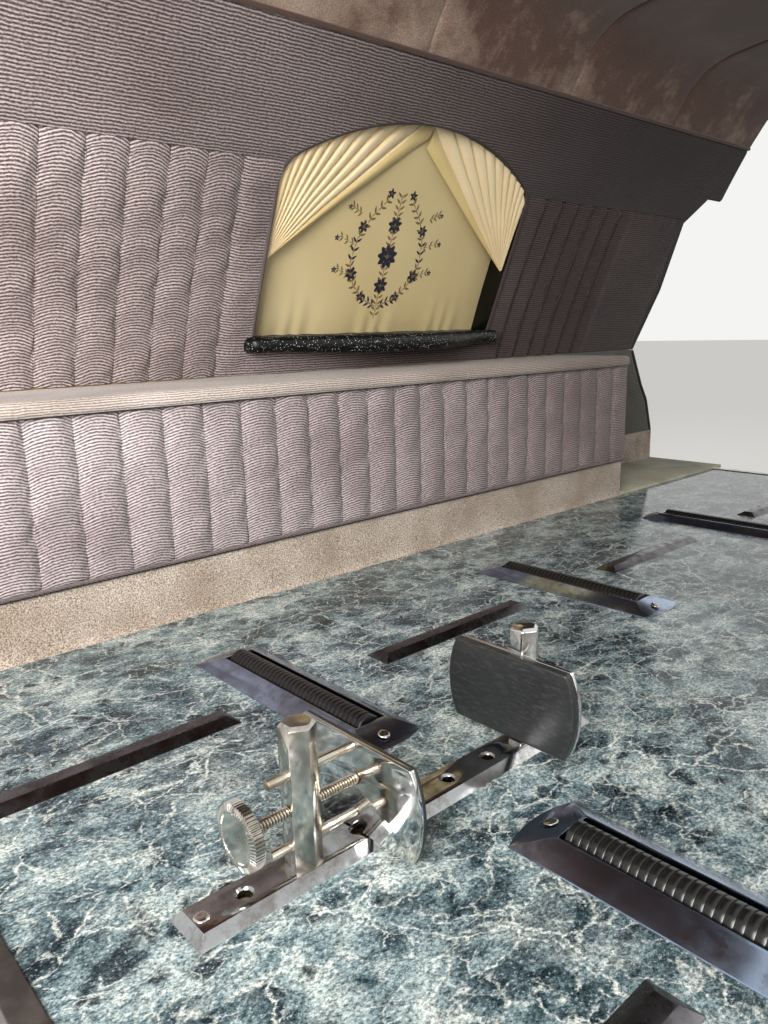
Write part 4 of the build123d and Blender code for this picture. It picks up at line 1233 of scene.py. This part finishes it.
def shelf_outline():
    """The shelf's plan as (x, y): a serpentine front with rounded ends, and a straight back."""
    half, corner = SHELF_HALF, 0.019
    reach_end, reach_middle = FOOT_Y - SHELF_END, FOOT_Y - SHELF_MIDDLE
    back = FOOT_Y + 0.038
    right = [(half, back), (half, reach_end + corner)]
    for step in range(1, 7):
        turn = pi / 2 * step / 7
        right.append((half - corner + corner * cos(turn),
                      reach_end + corner - corner * sin(turn)))
    for x in spaced(0.0, half - corner, 0.012)[::-1]:
        right.append((x, reach_end + (reach_middle - reach_end) * shelf_swell(x)))
    return [(NICHE_X + x, y) for x, y in right + [(-x, y) for x, y in right[-2::-1]]]


def shelf():
    """A bullnosed board whose back follows the lining and runs into the niche to the panel."""
    top = DECK_TOP + SHELF_TOP
    plan = shelf_outline()
    board = built("sparkle_shelf", [(x, y, top - SHELF_THICK) for x, y in plan],
                  [tuple(range(len(plan)))])
    with editing(board):
        bpy.ops.mesh.extrude_region_move(TRANSFORM_OT_translate={"value": (0, 0, SHELF_THICK)})
    edit = bmesh.new()
    edit.from_mesh(board.data)
    if not any(abs(face.normal.z) > 0.9 and face.calc_center_median().z < top - 0.01
               for face in edit.faces):
        low_ring = [edge for edge in edit.edges if edge.is_boundary]
        bmesh.ops.contextual_create(edit, geom=low_ring)
    bmesh.ops.recalc_face_normals(edit, faces=edit.faces)
    back = FOOT_Y + 0.037
    rims = [edge for edge in edit.edges
            if abs(edge.verts[0].co.z - edge.verts[1].co.z) < 1e-5
            and min(edge.verts[0].co.y, edge.verts[1].co.y) < back]
    bmesh.ops.bevel(edit, geom=rims, offset=0.0118, offset_type="OFFSET", segments=6,
                    profile=0.5, affect="EDGES", clamp_overlap=False)
    for vertex in edit.verts:
        belly = 1.08 + 0.26 * shelf_swell(vertex.co.x - NICHE_X)
        vertex.co.z = top - (top - vertex.co.z) * belly
    edit.to_mesh(board.data)
    edit.free()

    def slice_of_wall(near, far):
        return closed_pad("shelf_cutter", [NICHE_X - 0.40, NICHE_X + 0.40],
                          spaced(-0.06, 0.20, 0.01), lambda x, rise: wall_at(x, rise, near),
                          lambda x, rise: wall_at(x, rise, far))

    wall = slice_of_wall(-0.0003, 0.11)
    cut(wall, prism("tongue_cutter", niche_outline(-0.0012), -0.15, 0.15))
    cut(board, wall)
    cut(board, slice_of_wall(PANEL_FRONT - 0.0012, 0.13))
    dress(board, "shelf_black", smooth=40, replaces=["niche_shelf"])


# Headliner

def headliner():
    joint_angle = FOOT_ANGLE + JOINT_RISE / WALL_RADIUS
    out = Vector((0, cos(joint_angle), sin(joint_angle)))
    along = Vector((0, -sin(joint_angle), cos(joint_angle)))
    joint = Vector((0, wall_y, wall_z)) + out * WALL_RADIUS
    centre = joint + along * HEAD_RISE - out * HEAD_BEND
    crown_angle = acos(centre.y / (CROWN_RADIUS - HEAD_BEND))
    crown_z = centre.z - (CROWN_RADIUS - HEAD_BEND) * sin(crown_angle)
    bend_run = HEAD_BEND * (crown_angle - joint_angle)
    crown_run = CROWN_RADIUS * (pi / 2 - crown_angle)
    total = HEAD_RISE + bend_run + crown_run

    def at(x, run, behind):
        if run < HEAD_RISE:
            place = joint + along * run + out * behind
        elif run < HEAD_RISE + bend_run:
            angle = joint_angle + (run - HEAD_RISE) / HEAD_BEND
            place = centre + Vector((0, cos(angle), sin(angle))) * (HEAD_BEND + behind)
        else:
            angle = crown_angle + (run - HEAD_RISE - bend_run) / CROWN_RADIUS
            reach = CROWN_RADIUS + behind
            place = Vector((0, reach * cos(angle), crown_z + reach * sin(angle)))
        return Vector((x, place.y, place.z))

    marks = [REAR - 0.2] + list(HEAD_SEAMS) + [FRONT + 0.2]

    def inner(x, run):
        before = max(mark for mark in marks if mark <= x)
        after = min(mark for mark in marks if mark > x)
        across = (x - before) / (after - before)
        sag = 0.0035 * sin(pi * across)
        seam = 0.0040 * exp(-min(x - before, after - x) / 0.004)
        return at(x, run, seam - sag * min(run / 0.05, 1.0) + ripple(x, run, 14.0, 0.0012))

    columns = {round(x, 5) for x in spaced(REAR, FRONT, 0.016)}
    for seam in HEAD_SEAMS:
        columns |= {round(seam + step, 5) for step in (-0.008, -0.004, -0.0015, 0.0, 0.0015, 0.004,
                                                       0.008)}
    cloth = closed_pad("headliner_velour", sorted(columns), spaced(0.0, total, 0.014), inner,
                       lambda x, run: at(x, run, HEADLINER))
    upholstered(cloth, "velour", 0.9, "headliner")
    welt = [at(x, 0.0, 0.0005) for x in spaced(REAR, FRONT, 0.02)]
    dress(tube("headliner_welt", welt, 0.0042, 12), "velour", smooth=60)


# Lower side ahead of the box

def side_trim():
    top = DOOR_EDGE[0][0]
    outline = [(top, LID_TOP), (top, LID_TOP - 0.001)]
    outline += [(behind, DECK_TOP + height) for behind, height in DOOR_LOW_EDGE]

    def door_x(z):
        for (behind_a, high), (behind_b, low) in zip(outline, outline[1:]):
            if low <= z <= high:
                share = (z - low) / (high - low) if high > low else 0.0
                return FRONT - (behind_b + (behind_a - behind_b) * share)
        return FRONT - 0.015

    low, high = DECK_TOP + KICK, LID_TOP

    def front(u, z):
        x = BOX_FRONT + (door_x(z) - BOX_FRONT) * u
        inset = 0.0025 * max(0.0, 1 - (1 - u) / 0.03) ** 2
        return Vector((x, FOOT_Y + inset + ripple(x, z, 16.0, 0.001) + 0.0008, z))

    pad = closed_pad("side_return_cloth", spaced(0.0, 1.0, 0.025), spaced(low, high, 0.009),
                     front, lambda u, z: Vector((BOX_FRONT + (door_x(z) - BOX_FRONT) * u,
                                                 SIDE_Y - BACK_GAP, z)))
    upholstered(pad, "return_cloth", 0.9, "side_return_pad", slot="ribbed_cloth")
    strip = closed_pad("side_kick_carpet", spaced(BOX_FRONT, FRONT - 0.016, 0.012),
                       spaced(low, DECK_TOP + 0.09, 0.008),
                       lambda x, z: Vector((x, FOOT_Y - 0.0035 + ripple(x, z, 55.0, 0.0008), z)),
                       lambda x, z: Vector((x, FOOT_Y + 0.003, z)))
    upholstered(strip, "kick_carpet", 1.0)
    refined("sill_carpet", 0.002, "sill_carpet", smooth=40)
    seal = [Vector((door_x(z) + 0.0005, FOOT_Y + 0.004, z)) for z in spaced(low, high - 0.004, 0.01)]
    dress(tube("door_seal", seal, 0.006, 12), "door_seal", smooth=60)


# Deck hardware

def screw_head(name, place, radius, tilt=0.0):
    """A domed screw head with a shallow round recess in its middle, standing on its place."""
    head = primitive(name, bpy.ops.mesh.primitive_uv_sphere_add, segments=20, ring_count=10,
                     radius=radius)
    for vertex in head.data.vertices:
        vertex.co.z = max(vertex.co.z, -0.1 * radius) * 0.26
        reach = hypot(vertex.co.x, vertex.co.y) / radius
        if reach < 0.36 and vertex.co.z > 0:
            vertex.co.z -= 0.14 * radius * (1 - reach / 0.36)
    head.data.transform(Matrix.Translation(place) @ Matrix.Rotation(tilt, 4, "X"))
    return head


def deck_hardware():
    for side in ("left", "right"):
        for row in ("rear", "middle", "front"):
            node = f"roller_frame_{side}_{row}"
            refined(node, 0.0009, "stainless")
            low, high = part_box(node)
            x = (low[0] + high[0]) / 2
            roller(side, row, x)
            heads = []
            for end, tilt in ((1, -0.28), (-1, 0.28)):
                y = (low[1] + high[1]) / 2 + end * 0.1455
                heads.append(screw_head("frame_screw", Vector((x, y, DECK_TOP + 0.0066)), 0.0064,
                                        tilt))
            dress(joined(f"frame_screws_{side}_{row}", heads), "nickel", smooth=50)
    refined("skid_strips", 0.0006, "skid_steel")
    refined("bier_rail", 0.0005, "rail_steel")
    heads = [screw_head("rail_screw", Vector((x, 0.0, DECK_TOP + 0.0078)), 0.0062)
             for x in (-0.922, -0.498)]
    dress(joined("rail_screws", heads), "nickel", smooth=50)
    refined("rear_sill_trim", 0.0006, "brown_sill", smooth=40)
    refined("front_edge_trim", 0.0006, "aluminium_nosing", smooth=40)


def roller(side, row, x):
    """A grooved rubber drum turned about its axle."""
    node = f"roller_{side}_{row}"
    low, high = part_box(node)
    y0, y1 = low[1], high[1]
    z = (low[2] + high[2]) / 2
    radius, bore, groove, pitch = 0.016, 0.0041, 0.0011, 0.0070
    profile = [(y0, bore), (y0, radius - 0.0012), (y0 + 0.0012, radius)]
    count = int((y1 - y0) / pitch)
    for k in range(1, count):
        centre = y0 + (y1 - y0) * k / count
        profile += [(centre - 0.0012, radius), (centre - 0.0006, radius - 0.00025),
                    (centre - 0.0004, radius - groove), (centre + 0.0004, radius - groove),
                    (centre + 0.0006, radius - 0.00025), (centre + 0.0012, radius)]
    profile += [(y1 - 0.0012, radius), (y1, radius - 0.0012), (y1, bore)]
    count = len(profile)
    drum = built(node + "_drum", [(x, y, z + r) for y, r in profile], [],
                 edges=[(i, (i + 1) % count) for i in range(count)])
    with editing(drum):
        bpy.ops.mesh.spin(steps=32, angle=2 * pi, center=(x, 0, z), axis=(0, 1, 0),
                          use_auto_merge=True)
        bpy.ops.mesh.select_all(action="SELECT")
        bpy.ops.mesh.remove_doubles(threshold=0.00001)
        bpy.ops.mesh.normals_make_consistent(inside=False)
    dress(drum, "black_rubber", body=node, smooth=40, replaces=[node])


# Bier pins

def bier_pins():
    for node, material, slot, body, bevel in (
            ("clamp_post", "nickel", "chrome", "clamp_pin", 0.0008),
            ("stop_post", "chrome", "chrome", "stop_pin", 0.0008),
            ("clamp_plate", "chrome", "chrome", "clamp_jaw", 0.0008),
            ("stop_plate", "chrome", "chrome", "stop_pin", 0.0008),
            ("clamp_pad", "pad_rubber", "black_rubber", "clamp_jaw", 0.0006),
            ("stop_pad", "pad_rubber", "black_rubber", "stop_pin", 0.0016),
            ("clamp_guide_rods", "brass", "chrome", "clamp_jaw", 0.0008)):
        refined(node, bevel, material, body, 30)
    knob_wheel()
    thread(*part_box("clamp_screw"))


def knob_wheel():
    """The clamp's wheel: knurled rim with bevelled edges and a slightly sunk, flat face."""
    low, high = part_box("clamp_knob")
    radius, thick = (high[1] - low[1]) / 2, high[0] - low[0]
    flutes, groove, bevel = 56, 0.0015, 0.0018
    wheel = primitive("clamp_wheel", bpy.ops.mesh.primitive_circle_add, vertices=4 * flutes,
                      radius=radius, fill_type="NGON")
    for index, vertex in enumerate(wheel.data.vertices):
        if index % 4 in (2, 3):
            vertex.co *= (radius - groove) / radius
    inner = 1 - 2.6 * bevel / radius
    with editing(wheel):
        bpy.ops.transform.resize(value=(inner, inner, 1.0), center_override=(0, 0, 0))
        for rise, scale in ((bevel, 1 / inner), (thick - 2 * bevel, 1.0), (bevel, inner),
                            (0.0, 0.93), (-0.0007, 0.985)):
            bpy.ops.mesh.extrude_region_move(TRANSFORM_OT_translate={"value": (0, 0, rise)})
            bpy.ops.transform.resize(value=(scale, scale, 1.0), center_override=(0, 0, 0))
        bpy.ops.mesh.select_all(action="DESELECT")
        bpy.ops.mesh.select_non_manifold()
        bpy.ops.mesh.edge_face_add()
        bpy.ops.mesh.select_all(action="SELECT")
        bpy.ops.mesh.normals_make_consistent(inside=False)
    middle = Vector((high[0], (low[1] + high[1]) / 2, (low[2] + high[2]) / 2))
    wheel.data.transform(Matrix.Translation(middle) @ Matrix.Rotation(-pi / 2, 4, "Y"))
    dress(wheel, "nickel", "clamp_spindle", 30, ["clamp_knob"])


def thread(low, high):
    """The clamp's screw: a plain core with a helical thread wound round it."""
    z = (low[2] + high[2]) / 2
    core, crest, pitch = 0.0040, 0.00476, 0.0254 / 10
    start, stop = low[0], high[0] - 0.0004
    turns = int((stop - start) / pitch)
    profile = ((0.12, core - 0.0002), (0.33, crest), (0.67, crest), (0.88, core - 0.0002))
    ridge = built("clamp_screw_thread",
                  [(start + pitch * share, 0, reach) for share, reach in profile], [],
                  edges=[(0, 1), (1, 2), (2, 3), (3, 0)])
    apply(ridge, "SCREW", axis="X", screw_offset=pitch, angle=2 * pi, iterations=turns,
          steps=24, render_steps=24, use_merge_vertices=True)
    ridge.data.transform(Matrix.Translation((0, 0, z)))
    rod = primitive("Cylinder", bpy.ops.mesh.primitive_cylinder_add, vertices=32, radius=core,
                    depth=high[0] - low[0])
    rod.data.transform(Matrix.Translation(((low[0] + high[0]) / 2, 0, z))
                       @ Matrix.Rotation(pi / 2, 4, "Y"))
    with editing(ridge):
        bpy.ops.mesh.fill_holes(sides=8)
        bpy.ops.mesh.normals_make_consistent(inside=False)
    dress(rod, "dark_thread_root", "clamp_spindle", 35, ["clamp_screw"])
    dress(ridge, "brass", "clamp_spindle", 35)


studio()
keep_nodes()
box_trim()
wall_trim()
niche_trim()
shelf()
headliner()
side_trim()
deck_hardware()
bier_pins()
